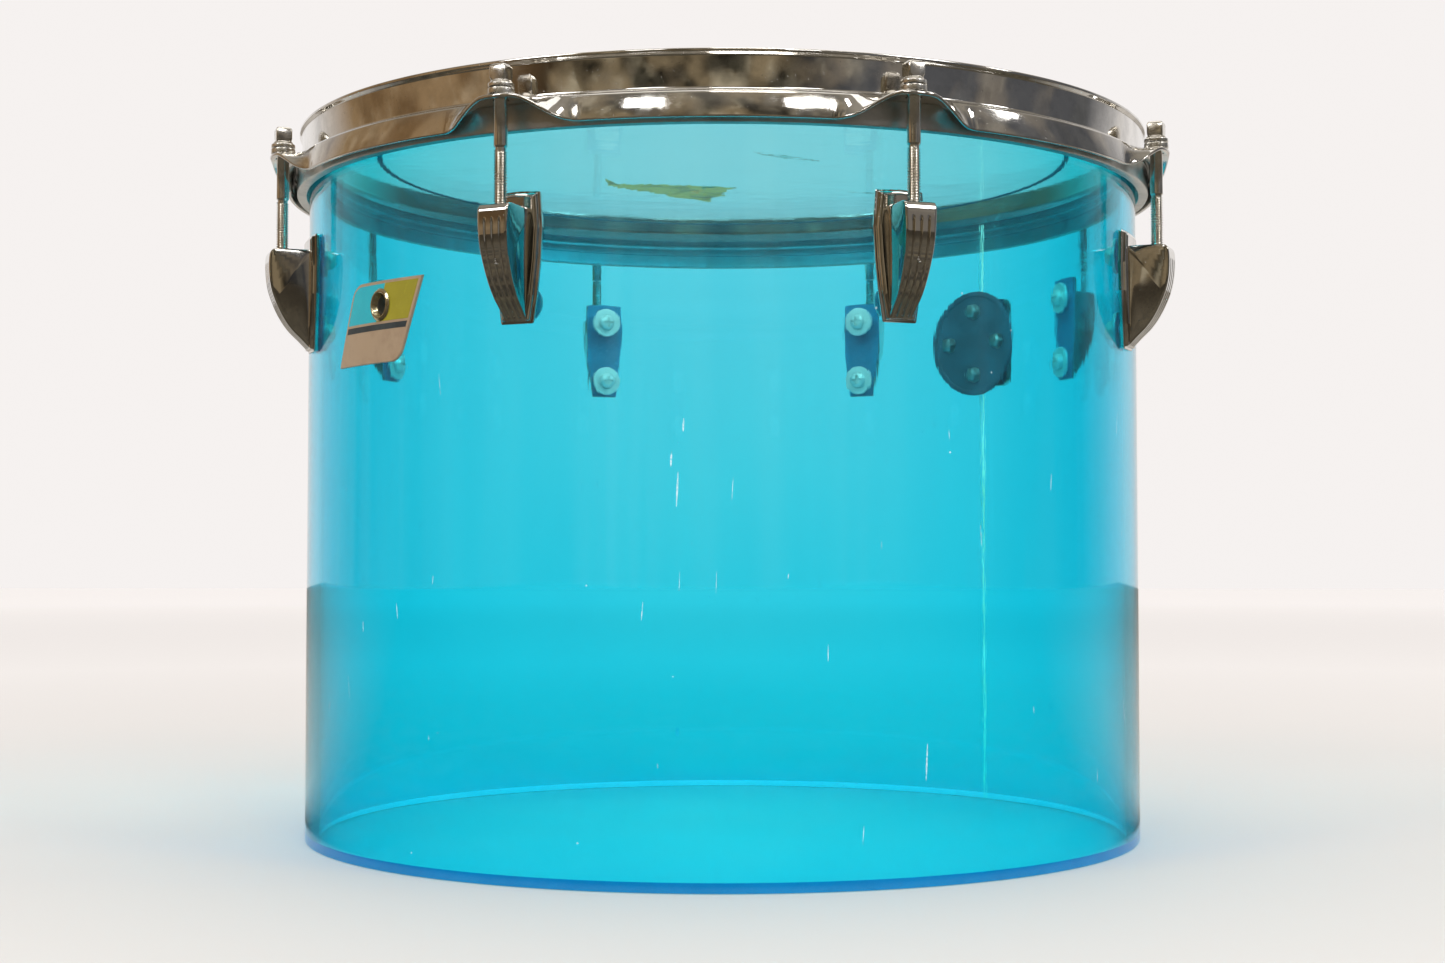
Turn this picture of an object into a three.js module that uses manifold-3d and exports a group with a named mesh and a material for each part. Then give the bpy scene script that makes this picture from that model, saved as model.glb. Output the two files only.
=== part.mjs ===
// Single-headed acrylic concert tom: an open-bottomed transparent shell with one drumhead on top,
// held down by a flanged steel counter hoop, eight tension rods and eight lug casings.
// Units are millimetres and +Z is up. The origin is on the shell's axis, in the plane of its
// bottom rim. Angles are in degrees from -Y, which is the front, turning towards +X.

import * as THREE from 'three';
import { mergeVertices } from 'three/addons/utils/BufferGeometryUtils.js';
import Module from 'manifold-3d';

const wasm = await Module();
wasm.setup();

// ---------- driving dimensions ----------

const GAP = 0.3; // left between neighbouring pieces that touch on the real drum
const RING_SEGMENTS = 72;
const FINE_SEGMENTS = 144;
const BOSS_SEGMENTS = 20;
const ROD_SEGMENTS = 12;
const SCREW_SEGMENTS = 8;

// shell
const SHELL_RADIUS = 189;
const SHELL_WALL = 6;
const SHELL_INNER = SHELL_RADIUS - SHELL_WALL;
const SHELL_TOP = 305.7;
const BEARING_PEAK_RADIUS = 188.2;
const BEARING_ROUND = 0.8;

// drumhead film and the aluminium channel that holds its edge
const FILM_UNDERSIDE = SHELL_TOP + GAP;
const FILM_THICKNESS = 0.4;
const COLLAR_RADIUS = SHELL_RADIUS + GAP;
const COLLAR_ROUND = 1.1;
const FILM_EDGE_RADIUS = 193;
const FILM_EDGE_HEIGHT = 292.9;
const CHANNEL_INNER = 190.3;
const CHANNEL_OUTER = 194.6;
const CHANNEL_WALL = 1.2;
const CHANNEL_BOTTOM = 286.8;
const CHANNEL_TOP = 297.8;
const CHANNEL_CHAMFER = 1;

// counter hoop, pressed from one strip of sheet steel
const HOOP_SHEET = 1.6;
const HOOP_INNER = 190.8;
const HOOP_BAND_OUTER = HOOP_INNER + HOOP_SHEET;
const HOOP_TOP = 315.1;
const HOOP_LIP_RADIUS = 193.7;
const HOOP_LIP_HEIGHT = 2.2;
const SHOULDER_TOP = 299.7;
const SHOULDER_UNDERSIDE = 298.1;
const SKIRT_BEND_RADIUS = 195.8;
const SKIRT_BEND_HEIGHT = 296.9;
const SKIRT_LENGTH = 9.3;
const EAR_EXTRA_LENGTH = 3.4;
const EAR_FLAT_ANGLE = 1.6;
const EAR_END_ANGLE = 8.75;
const EAR_TONGUE_ANGLE = 5;

// eight stations round the drum
const STATIONS = 8;
const FIRST_STATION = 22.5;
const STATION_PITCH = 360 / STATIONS;

// tension rod, its washer and its swivel nut
const ROD_RADIUS_FROM_AXIS = SHELL_RADIUS + 14.1;
const ROD_RADIUS = 2.65;
const ROD_TIP = 238;
const ROD_COLLAR_RADIUS = 5.1;
const ROD_COLLAR_BOTTOM = 301.6;
const ROD_COLLAR_TOP = 303.1;
const ROD_HEAD_TOP = 310.7;
const ROD_HEAD_WIDTH = 6.8;
const ROD_HEAD_CHAMFER = 0.9;
const WASHER_RADIUS = 5.15;
const WASHER_BOTTOM = SKIRT_BEND_HEIGHT + HOOP_SHEET + GAP;
const WASHER_TOP = ROD_COLLAR_BOTTOM - GAP;
const ROD_HOLE_RADIUS = ROD_RADIUS + 0.3;
const NUT_RADIUS = 3.9;
const NUT_FLANGE_RADIUS = 4.4;
const NUT_BOTTOM = 243;
const NUT_FLANGE_BOTTOM = 251.5;
const NUT_TOP = 253.5;

// lug casing
const LUG_PLATE_TOP = 264.5;
const LUG_PLATE_BOTTOM = 213.5;
const LUG_PLATE_DEPTH = 3.5;
const LUG_PLATE_WIDEST = 250;
const LUG_PLATE_HALF_TOP = 9.8;
const LUG_PLATE_HALF_WIDE = 10.8;
const LUG_PLATE_HALF_BOTTOM = 7;
const LUG_BODY_TOP = 257.3;
const LUG_BODY_DEPTH = 20.6;
const LUG_BODY_HALF_TOP = 7;
const LUG_BODY_HALF_MIDDLE = 6.5;
const LUG_BODY_HALF_BOTTOM = 5;
const LUG_WALL = 1.4;
const LUG_SCREW_HEIGHTS = { upper: 254, lower: 222 };
const LUG_POST_RADIUS = 4.2;
const LUG_POST_DEPTH = 8.6;
const LUG_ROD_HOLE_RADIUS = 3.3;

// lug screw and the large flat washer that spreads its load on the acrylic
const SCREW_RADIUS = 2.1;
const SCREW_HOLE_RADIUS = 2.6;
const SCREW_TIP_DEPTH = 4.8;
const SCREW_WASHER_RADIUS = 7.75;
const SCREW_WASHER_THICKNESS = 1.2;
const SCREW_HEAD_RADIUS = 4.2;
const SCREW_HEAD_HEIGHT = 4;
const SCREW_SEAT = SHELL_INNER - 0.5;

// badge and the vent grommet that rivets it to the shell
const BADGE_ANGLE = -45.65;
const BADGE_CENTRE_HEIGHT = 219.4;
const BADGE_WIDTH = 46.2;
const BADGE_HEIGHT = 33.2;
const BADGE_SLANT = 13.4;
const BADGE_CORNER = 6;
const BADGE_THICKNESS = 0.8;
const GROMMET_ANGLE = -44.6;
const GROMMET_HEIGHT = 226.2;
const GROMMET_FLANGE_RADIUS = 6.5;
const GROMMET_TUBE_RADIUS = 4.6;
const GROMMET_BORE_RADIUS = 3.8;
const GROMMET_FLANGE = 1;
const VENT_HOLE_RADIUS = 5.2;

// holder for a round support arm, opposite the badge
const MOUNT_ANGLE = 134.2;
const MOUNT_HEIGHT = 237.5;
const BACKING_RADIUS = 27.25;
const BACKING_THICKNESS = 2;
const BOLT_CIRCLE_RADIUS = 16.6;
const BOLT_RADIUS = 2;
const BOLT_HOLE_RADIUS = 2.4;
const BOLT_HEAD_RADIUS = 4;
const BOLT_HEAD_HEIGHT = 4.2;
const BOLT_TIP_DEPTH = 2;
const BRACKET_HALF_WIDTH = 19.7;
const BRACKET_HALF_HEIGHT = 22.75;
const BRACKET_PLATE_DEPTH = 3.8;
const BRACKET_BEVEL = 1.5;
const ARM_BORE_DEPTH = 10.4;
const ARM_BORE_RADIUS = 5.3;
const ARM_BOSS_RADIUS = 8.2;
const ARM_BOSS_HALF_HEIGHT = 20;
const CLAMP_BOSS_RADIUS = 6;
const CLAMP_BOSS_END = 17;
const CLAMP_HOLE_RADIUS = 3.4;
const CLAMP_SCREW_RADIUS = 3;
const PAD_TIP = 5.6;
const PAD_LENGTH = 3;
const WING_HUB_START = 21.3;
const WING_HUB_RADIUS = 4.4;
const WING_HUB_LENGTH = 7.7;
const WING_SPAN = 10.8;
const WING_START = 24.5;
const WING_END = 35.5;
const WING_THICKNESS = 2.6;

// ---------- looks ----------

function look(color, roughness, metalness, opacity = 1) {
  const transparent = opacity < 1;
  return new THREE.MeshStandardMaterial({ color, roughness, metalness, opacity, transparent });
}

const LOOKS = {
  acrylic: () => look(0x0aa6d2, 0.06, 0, 0.5),
  film: () => look(0xdfe9ea, 0.12, 0, 0.3),
  aluminium: () => look(0xc9c8c2, 0.38, 1),
  chrome: () => look(0xd8d6d2, 0.08, 1),
  plated: () => look(0xbdb8ae, 0.22, 1),
  zinc: () => look(0x9fa3a6, 0.45, 1),
  badge: () => look(0xb39c8c, 0.4, 0.8),
  nickel: () => look(0xb9ac84, 0.25, 1),
  blackened: () => look(0x3a4145, 0.6, 0.4),
  cast: () => look(0xb9bab8, 0.25, 1),
  brass: () => look(0xb08d4a, 0.35, 1),
};

// ---------- geometry helpers ----------

const radians = THREE.MathUtils.degToRad;

// A closed manifold solid from a three.js geometry, with its faces pointing out.
function solid(geometry) {
  const bare = geometry.clone();
  bare.deleteAttribute('normal');
  bare.deleteAttribute('uv');
  const merged = mergeVertices(bare, 1e-4);
  const corners = merged.index.array;
  const faces = [];
  for (let i = 0; i < corners.length; i += 3) {
    const [a, b, c] = corners.slice(i, i + 3);
    if (a !== b && b !== c && c !== a) faces.push(a, b, c);
  }
  const build = (triangles) => new wasm.Manifold(new wasm.Mesh({
    numProp: 3,
    vertProperties: merged.attributes.position.array,
    triVerts: Uint32Array.from(triangles),
  }));
  const made = build(faces);
  return made.volume() > 0 ? made : build(faces.reverse());
}

// A solid turned about the Z axis from [radius, height] pairs. It starts and ends on the axis,
// or closes on itself.
function turned(outline, segments) {
  const points = outline.map(([radius, height]) => new THREE.Vector2(radius, height));
  const geometry = new THREE.LatheGeometry(points, segments);
  return solid(geometry.rotateX(Math.PI / 2));
}

function closedLoop(outline) {
  return [...outline, outline[0]];
}

function cylinder(radius, bottom, top, segments) {
  return turned([[0, bottom], [radius, bottom], [radius, top], [0, top]], segments);
}

function tube(inner, outer, bottom, top, segments) {
  const outline = [[inner, bottom], [outer, bottom], [outer, top], [inner, top]];
  return turned(closedLoop(outline), segments);
}

// In a station's own frame X is tangential, -Y points out of the drum and Z is up.
// This turned piece has its axis along the outward direction, at the given X and Z.
function turnedOutward(outline, segments, x, z) {
  const points = outline.map(([radius, distance]) => new THREE.Vector2(radius, -distance));
  const geometry = new THREE.LatheGeometry(points, segments);
  return solid(geometry.translate(x, 0, z));
}

function pinOutward(radius, from, to, segments, x, z) {
  return turnedOutward([[0, from], [radius, from], [radius, to], [0, to]], segments, x, z);
}

// A shape drawn in X and Z, carried from one distance to another along the outward direction.
function extrudedOutward(shape, from, to, curveSegments = 3) {
  const settings = { depth: to - from, bevelEnabled: false, curveSegments };
  const geometry = new THREE.ExtrudeGeometry(shape, settings);
  return solid(geometry.rotateX(Math.PI / 2).translate(0, -from, 0));
}

// A shape drawn in distance from the axis and Z, carried sideways and centred on X = 0.
function extrudedSideways(shape, width, curveSegments = 5) {
  const settings = { depth: width, bevelEnabled: false, curveSegments };
  const geometry = new THREE.ExtrudeGeometry(shape, settings);
  const outward = new THREE.Vector3(0, -1, 0);
  const up = new THREE.Vector3(0, 0, 1);
  const sideways = new THREE.Vector3(-1, 0, 0);
  const frame = new THREE.Matrix4().makeBasis(outward, up, sideways);
  return solid(geometry.translate(0, 0, -width / 2).applyMatrix4(frame));
}

// What is cut from the back of a piece that is seated on the shell.
function shellOutside() {
  return cylinder(SHELL_RADIUS + GAP, 0, SHELL_TOP, FINE_SEGMENTS);
}

function joined(...solids) {
  return solids.reduce((whole, piece) => whole.add(piece));
}

function smooth(share) {
  const t = THREE.MathUtils.clamp(share, 0, 1);
  return t * t * (3 - 2 * t);
}

const drum = new THREE.Group();

function addPiece(name, piece, material, angle = 0) {
  const { vertProperties, triVerts } = piece.getMesh();
  const geometry = new THREE.BufferGeometry();
  geometry.setAttribute('position', new THREE.Float32BufferAttribute(vertProperties, 3));
  geometry.setIndex(Array.from(triVerts));
  geometry.computeVertexNormals();
  const mesh = new THREE.Mesh(geometry, material);
  mesh.name = name;
  mesh.rotation.z = radians(angle);
  drum.add(mesh);
}

// A boolean tool that is drawn in a station's frame and turned to its place round the drum.
function turnedTo(angle, piece) {
  return piece.rotate([0, 0, angle]);
}

const stationAngles = Array.from({ length: STATIONS }, (_, i) => FIRST_STATION + i * STATION_PITCH);

const boltPlaces = [[0, 1], [1, 0], [0, -1], [-1, 0]].map(([x, z]) => [
  x * BOLT_CIRCLE_RADIUS,
  MOUNT_HEIGHT + z * BOLT_CIRCLE_RADIUS,
]);

// ---------- shell ----------

function holeThroughShell(radius, segments, angle, x, z) {
  return turnedTo(angle, pinOutward(radius, SHELL_INNER - 4, SHELL_RADIUS + 4, segments, x, z));
}

function makeShell() {
  const cut = BEARING_PEAK_RADIUS - SHELL_INNER;
  let shell = turned(closedLoop([
    [SHELL_INNER, 0],
    [SHELL_RADIUS, 0],
    [SHELL_RADIUS, SHELL_TOP - BEARING_ROUND],
    [BEARING_PEAK_RADIUS, SHELL_TOP],
    [SHELL_INNER, SHELL_TOP - cut],
  ]), RING_SEGMENTS);
  for (const angle of stationAngles) {
    for (const height of Object.values(LUG_SCREW_HEIGHTS)) {
      shell = shell.subtract(holeThroughShell(SCREW_HOLE_RADIUS, SCREW_SEGMENTS, angle, 0, height));
    }
  }
  for (const [x, z] of boltPlaces) {
    shell = shell.subtract(holeThroughShell(BOLT_HOLE_RADIUS, SCREW_SEGMENTS, MOUNT_ANGLE, x, z));
  }
  const vent = [VENT_HOLE_RADIUS, ROD_SEGMENTS, GROMMET_ANGLE, 0, GROMMET_HEIGHT];
  return shell.subtract(holeThroughShell(...vent));
}

// ---------- drumhead ----------

// The film lies on the bearing edge, turns down outside the shell and ends in the channel's mouth.
function makeFilm() {
  const top = FILM_UNDERSIDE + FILM_THICKNESS;
  const outer = COLLAR_RADIUS + FILM_THICKNESS;
  return turned([
    [0, FILM_UNDERSIDE],
    [COLLAR_RADIUS - COLLAR_ROUND, FILM_UNDERSIDE],
    [COLLAR_RADIUS, FILM_UNDERSIDE - COLLAR_ROUND],
    [COLLAR_RADIUS, FILM_EDGE_HEIGHT],
    [FILM_EDGE_RADIUS, FILM_EDGE_HEIGHT],
    [FILM_EDGE_RADIUS, FILM_EDGE_HEIGHT + FILM_THICKNESS],
    [outer, FILM_EDGE_HEIGHT + FILM_THICKNESS],
    [outer, FILM_UNDERSIDE - COLLAR_ROUND],
    [COLLAR_RADIUS - COLLAR_ROUND, top],
    [0, top],
  ], RING_SEGMENTS);
}

// A channel whose mouth faces the shell.
function makeFleshHoop() {
  const back = CHANNEL_OUTER - CHANNEL_WALL;
  return turned(closedLoop([
    [CHANNEL_INNER, CHANNEL_BOTTOM],
    [CHANNEL_OUTER, CHANNEL_BOTTOM],
    [CHANNEL_OUTER, CHANNEL_TOP - CHANNEL_CHAMFER],
    [CHANNEL_OUTER - CHANNEL_CHAMFER, CHANNEL_TOP],
    [CHANNEL_INNER, CHANNEL_TOP],
    [CHANNEL_INNER, CHANNEL_TOP - CHANNEL_WALL],
    [back, CHANNEL_TOP - CHANNEL_WALL],
    [back, CHANNEL_BOTTOM + CHANNEL_WALL],
    [CHANNEL_INNER, CHANNEL_BOTTOM + CHANNEL_WALL],
  ]), RING_SEGMENTS);
}

// ---------- counter hoop ----------

// The hoop's section where its skirt makes the angle `flare` with straight down.
function hoopSection(flare, skirtLength) {
  const normal = new THREE.Vector2(Math.cos(flare), Math.sin(flare));
  const along = new THREE.Vector2(Math.sin(flare), -Math.cos(flare));
  const bend = new THREE.Vector2(SKIRT_BEND_RADIUS, SKIRT_BEND_HEIGHT);
  const innerEnd = bend.clone().addScaledVector(along, skirtLength);
  const outerEnd = innerEnd.clone().addScaledVector(normal, HOOP_SHEET);
  const halfway = (Math.PI / 2 + flare) / 2;
  const onBend = (angle) => [
    bend.x + HOOP_SHEET * Math.cos(angle),
    bend.y + HOOP_SHEET * Math.sin(angle),
  ];
  return [
    [HOOP_INNER, SHOULDER_UNDERSIDE],
    [HOOP_INNER, HOOP_TOP],
    [HOOP_LIP_RADIUS, HOOP_TOP],
    [HOOP_BAND_OUTER, HOOP_TOP - HOOP_LIP_HEIGHT],
    [HOOP_BAND_OUTER, SHOULDER_TOP],
    onBend(halfway),
    onBend(flare),
    [outerEnd.x, outerEnd.y],
    [innerEnd.x, innerEnd.y],
    [bend.x, bend.y],
    [SKIRT_BEND_RADIUS - 2.3, SHOULDER_UNDERSIDE],
  ];
}

function angleFromStation(angle) {
  const past = THREE.MathUtils.euclideanModulo(angle - FIRST_STATION, STATION_PITCH);
  return Math.min(past, STATION_PITCH - past);
}

// One turned strip whose skirt bends out into a flat ear over each tension rod.
function makeCounterHoop() {
  const straight = closedLoop(hoopSection(0, SKIRT_LENGTH));
  const points = straight.map(([radius, height]) => new THREE.Vector2(radius, height));
  const strip = new THREE.LatheGeometry(points, FINE_SEGMENTS);
  for (let i = 0; i <= FINE_SEGMENTS; i += 1) {
    const angle = (i % FINE_SEGMENTS) * (360 / FINE_SEGMENTS);
    const away = angleFromStation(angle);
    const bent = smooth((EAR_END_ANGLE - away) / (EAR_END_ANGLE - EAR_FLAT_ANGLE));
    const longer = EAR_EXTRA_LENGTH * smooth(1 - away / EAR_TONGUE_ANGLE);
    const section = closedLoop(hoopSection(bent * Math.PI / 2, SKIRT_LENGTH + longer));
    section.forEach(([radius, height], j) => {
      const x = radius * Math.sin(radians(angle));
      const z = radius * Math.cos(radians(angle));
      strip.attributes.position.setXYZ(i * section.length + j, x, height, z);
    });
  }
  let hoop = solid(strip.rotateX(Math.PI / 2));
  for (const angle of stationAngles) {
    const hole = cylinder(ROD_HOLE_RADIUS + 0.2, CHANNEL_BOTTOM, HOOP_TOP, ROD_SEGMENTS);
    hoop = hoop.subtract(turnedTo(angle, hole.translate([0, -ROD_RADIUS_FROM_AXIS, 0])));
  }
  return hoop;
}

// ---------- tension rod, washer and swivel nut ----------

function makeRod() {
  const shank = turned([
    [0, ROD_TIP],
    [ROD_RADIUS - 0.6, ROD_TIP],
    [ROD_RADIUS, ROD_TIP + 0.8],
    [ROD_RADIUS, ROD_COLLAR_BOTTOM],
    [ROD_COLLAR_RADIUS, ROD_COLLAR_BOTTOM],
    [ROD_COLLAR_RADIUS, ROD_COLLAR_TOP],
    [0, ROD_COLLAR_TOP + 0.6],
  ], ROD_SEGMENTS);
  const corner = ROD_HEAD_WIDTH / Math.SQRT2;
  const head = turned([
    [0, ROD_COLLAR_TOP - 0.5],
    [corner, ROD_COLLAR_TOP - 0.5],
    [corner, ROD_HEAD_TOP - ROD_HEAD_CHAMFER],
    [corner - ROD_HEAD_CHAMFER, ROD_HEAD_TOP],
    [0, ROD_HEAD_TOP],
  ], 4).rotate([0, 0, 45]);
  return joined(shank, head).translate([0, -ROD_RADIUS_FROM_AXIS, 0]);
}

function makeRodWasher() {
  const washer = tube(ROD_HOLE_RADIUS, WASHER_RADIUS, WASHER_BOTTOM, WASHER_TOP, ROD_SEGMENTS);
  return washer.translate([0, -ROD_RADIUS_FROM_AXIS, 0]);
}

function makeSwivelNut() {
  return turned(closedLoop([
    [ROD_HOLE_RADIUS, NUT_BOTTOM],
    [NUT_RADIUS, NUT_BOTTOM],
    [NUT_RADIUS, NUT_FLANGE_BOTTOM],
    [NUT_FLANGE_RADIUS, NUT_FLANGE_BOTTOM],
    [NUT_FLANGE_RADIUS, NUT_TOP],
    [ROD_HOLE_RADIUS, NUT_TOP],
  ]), ROD_SEGMENTS).translate([0, -ROD_RADIUS_FROM_AXIS, 0]);
}

// ---------- lug casing ----------

function lugPlateShape() {
  const shape = new THREE.Shape();
  shape.moveTo(-LUG_PLATE_HALF_BOTTOM, LUG_PLATE_BOTTOM);
  shape.lineTo(LUG_PLATE_HALF_BOTTOM, LUG_PLATE_BOTTOM);
  shape.quadraticCurveTo(10.9, 238, LUG_PLATE_HALF_WIDE, LUG_PLATE_WIDEST);
  shape.lineTo(LUG_PLATE_HALF_TOP, LUG_PLATE_TOP - 0.6);
  shape.quadraticCurveTo(0, LUG_PLATE_TOP + 0.6, -LUG_PLATE_HALF_TOP, LUG_PLATE_TOP - 0.6);
  shape.lineTo(-LUG_PLATE_HALF_WIDE, LUG_PLATE_WIDEST);
  shape.quadraticCurveTo(-10.9, 238, -LUG_PLATE_HALF_BOTTOM, LUG_PLATE_BOTTOM);
  return shape;
}

// The body seen from the side, with its walls moved in by `inset`.
function lugSideShape(inset) {
  const back = SHELL_RADIUS - 5;
  const top = LUG_BODY_TOP - inset;
  const front = SHELL_RADIUS + LUG_BODY_DEPTH - inset;
  const foot = SHELL_RADIUS + 3.2 - inset;
  const shape = new THREE.Shape();
  shape.moveTo(back, 214.6 + inset);
  shape.lineTo(foot, 214.6 + inset);
  shape.bezierCurveTo(SHELL_RADIUS + 13 - inset, 225 + inset, front, 236, front, 250);
  shape.lineTo(front, top - 3.5);
  shape.quadraticCurveTo(front, top, front - 3, top);
  shape.lineTo(back, top);
  return shape;
}

// The body seen from the front, a little narrower towards its foot.
function lugFrontShape(inset) {
  const shape = new THREE.Shape();
  const profile = [
    [LUG_BODY_HALF_BOTTOM, LUG_PLATE_BOTTOM],
    [LUG_BODY_HALF_MIDDLE, 235],
    [LUG_BODY_HALF_TOP, LUG_PLATE_TOP],
  ];
  const right = profile.map(([half, height]) => new THREE.Vector2(half - inset, height));
  const left = right.map(({ x, y }) => new THREE.Vector2(-x, y)).reverse();
  shape.setFromPoints([...right, ...left]);
  return shape;
}

function lugBody(inset) {
  const side = extrudedSideways(lugSideShape(inset), 2 * LUG_PLATE_HALF_WIDE);
  const front = extrudedOutward(lugFrontShape(inset), SHELL_RADIUS - 10, SHELL_RADIUS + 30);
  return side.intersect(front);
}

function makeLugCasing() {
  const heights = Object.values(LUG_SCREW_HEIGHTS);
  const plateFront = SHELL_RADIUS + LUG_PLATE_DEPTH;
  const plate = extrudedOutward(lugPlateShape(), SHELL_RADIUS - 5, plateFront);
  const postEnd = SHELL_RADIUS + LUG_POST_DEPTH;
  const posts = heights.map((height) => (
    pinOutward(LUG_POST_RADIUS, SHELL_INNER, postEnd, SCREW_SEGMENTS, 0, height)
  ));
  const pocket = lugBody(LUG_WALL).subtract(joined(...posts));
  const rodHole = cylinder(LUG_ROD_HOLE_RADIUS, LUG_PLATE_WIDEST, LUG_PLATE_TOP, ROD_SEGMENTS);
  let casing = joined(plate, lugBody(0)).subtract(pocket);
  casing = casing.subtract(rodHole.translate([0, -ROD_RADIUS_FROM_AXIS, 0]));
  for (const height of heights) {
    const end = SHELL_RADIUS + SCREW_TIP_DEPTH + GAP;
    const hole = pinOutward(SCREW_HOLE_RADIUS, SHELL_INNER, end, SCREW_SEGMENTS, 0, height);
    casing = casing.subtract(hole);
  }
  return casing.subtract(shellOutside());
}

// A pan-headed machine screw with its large flat washer, fitted from inside the shell.
function makeLugScrew(height) {
  const washerInner = SCREW_SEAT - SCREW_WASHER_THICKNESS;
  return turnedOutward([
    [0, washerInner - SCREW_HEAD_HEIGHT],
    [SCREW_HEAD_RADIUS, washerInner - SCREW_HEAD_HEIGHT],
    [SCREW_HEAD_RADIUS, washerInner],
    [SCREW_WASHER_RADIUS, washerInner],
    [SCREW_WASHER_RADIUS, SCREW_SEAT],
    [SCREW_RADIUS, SCREW_SEAT],
    [SCREW_RADIUS, SHELL_RADIUS + SCREW_TIP_DEPTH],
    [0, SHELL_RADIUS + SCREW_TIP_DEPTH],
  ], SCREW_SEGMENTS, 0, height);
}

// ---------- badge and vent grommet ----------

// A slanted plate with two round corners and two sharp ones.
function badgeShape() {
  const top = BADGE_CENTRE_HEIGHT + BADGE_HEIGHT / 2;
  const bottom = BADGE_CENTRE_HEIGHT - BADGE_HEIGHT / 2;
  const half = BADGE_WIDTH / 2;
  const lean = BADGE_SLANT / 2;
  const slope = BADGE_SLANT / BADGE_HEIGHT;
  const shape = new THREE.Shape();
  shape.moveTo(-half - lean, bottom);
  shape.lineTo(half - lean - BADGE_CORNER, bottom);
  shape.quadraticCurveTo(
    half - lean,
    bottom,
    half - lean + BADGE_CORNER * slope,
    bottom + BADGE_CORNER,
  );
  shape.lineTo(half + lean, top);
  shape.lineTo(-half + lean + BADGE_CORNER, top);
  shape.quadraticCurveTo(
    -half + lean,
    top,
    -half + lean - BADGE_CORNER * slope,
    top - BADGE_CORNER,
  );
  return shape;
}

function makeBadge() {
  const inner = SHELL_RADIUS + GAP;
  const bottom = BADGE_CENTRE_HEIGHT - BADGE_HEIGHT;
  const top = BADGE_CENTRE_HEIGHT + BADGE_HEIGHT;
  const skin = tube(inner, inner + BADGE_THICKNESS, bottom, top, FINE_SEGMENTS);
  const outline = extrudedOutward(badgeShape(), SHELL_RADIUS - 20, SHELL_RADIUS + 10);
  const vent = turnedTo(
    GROMMET_ANGLE - BADGE_ANGLE,
    pinOutward(VENT_HOLE_RADIUS, SHELL_INNER, SHELL_RADIUS + 10, ROD_SEGMENTS, 0, GROMMET_HEIGHT),
  );
  return skin.intersect(outline).subtract(vent);
}

function makeGrommet() {
  const outerSeat = SHELL_RADIUS + 2 * GAP + BADGE_THICKNESS;
  const innerSeat = SHELL_INNER - 0.6;
  return turnedOutward(closedLoop([
    [GROMMET_BORE_RADIUS, innerSeat - GROMMET_FLANGE],
    [GROMMET_FLANGE_RADIUS, innerSeat - GROMMET_FLANGE],
    [GROMMET_FLANGE_RADIUS, innerSeat],
    [GROMMET_TUBE_RADIUS, innerSeat],
    [GROMMET_TUBE_RADIUS, outerSeat],
    [GROMMET_FLANGE_RADIUS, outerSeat],
    [GROMMET_FLANGE_RADIUS - 1, outerSeat + GROMMET_FLANGE],
    [GROMMET_BORE_RADIUS + 0.5, outerSeat + GROMMET_FLANGE],
  ]), 14, 0, GROMMET_HEIGHT);
}

// ---------- arm holder ----------

// Curved round plate inside the shell, with its four bolts joined to it.
function makeBackingPlate() {
  const seat = SHELL_INNER - 0.5;
  const face = seat - BACKING_THICKNESS;
  const bottom = MOUNT_HEIGHT - 2 * BACKING_RADIUS;
  const top = MOUNT_HEIGHT + 2 * BACKING_RADIUS;
  const skin = tube(face, seat, bottom, top, FINE_SEGMENTS);
  const round = [BACKING_RADIUS, face - 10, SHELL_RADIUS, BOSS_SEGMENTS, 0, MOUNT_HEIGHT];
  const disc = pinOutward(...round);
  const bolts = boltPlaces.map(([x, z]) => turnedOutward([
    [0, face - BOLT_HEAD_HEIGHT],
    [BOLT_HEAD_RADIUS - 1.4, face - BOLT_HEAD_HEIGHT],
    [BOLT_HEAD_RADIUS, face - BOLT_HEAD_HEIGHT + 1.6],
    [BOLT_HEAD_RADIUS, face + 0.8 - x * x / (2 * SHELL_INNER)],
    [BOLT_RADIUS, face + 0.8 - x * x / (2 * SHELL_INNER)],
    [BOLT_RADIUS, SHELL_RADIUS + BOLT_TIP_DEPTH - x * x / (2 * SHELL_RADIUS)],
    [0, SHELL_RADIUS + BOLT_TIP_DEPTH - x * x / (2 * SHELL_RADIUS)],
  ], SCREW_SEGMENTS, x, z));
  return joined(skin.intersect(disc), ...bolts);
}

// Everything on the clamp screw's axis is turned about it, at the bore's depth and mid height.
function turnedAlongClamp(outline, segments) {
  const points = outline.map(([radius, distance]) => new THREE.Vector2(radius, distance));
  const geometry = new THREE.LatheGeometry(points, segments);
  geometry.rotateZ(-Math.PI / 2);
  return solid(geometry.translate(0, -SHELL_RADIUS - ARM_BORE_DEPTH, MOUNT_HEIGHT));
}

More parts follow.
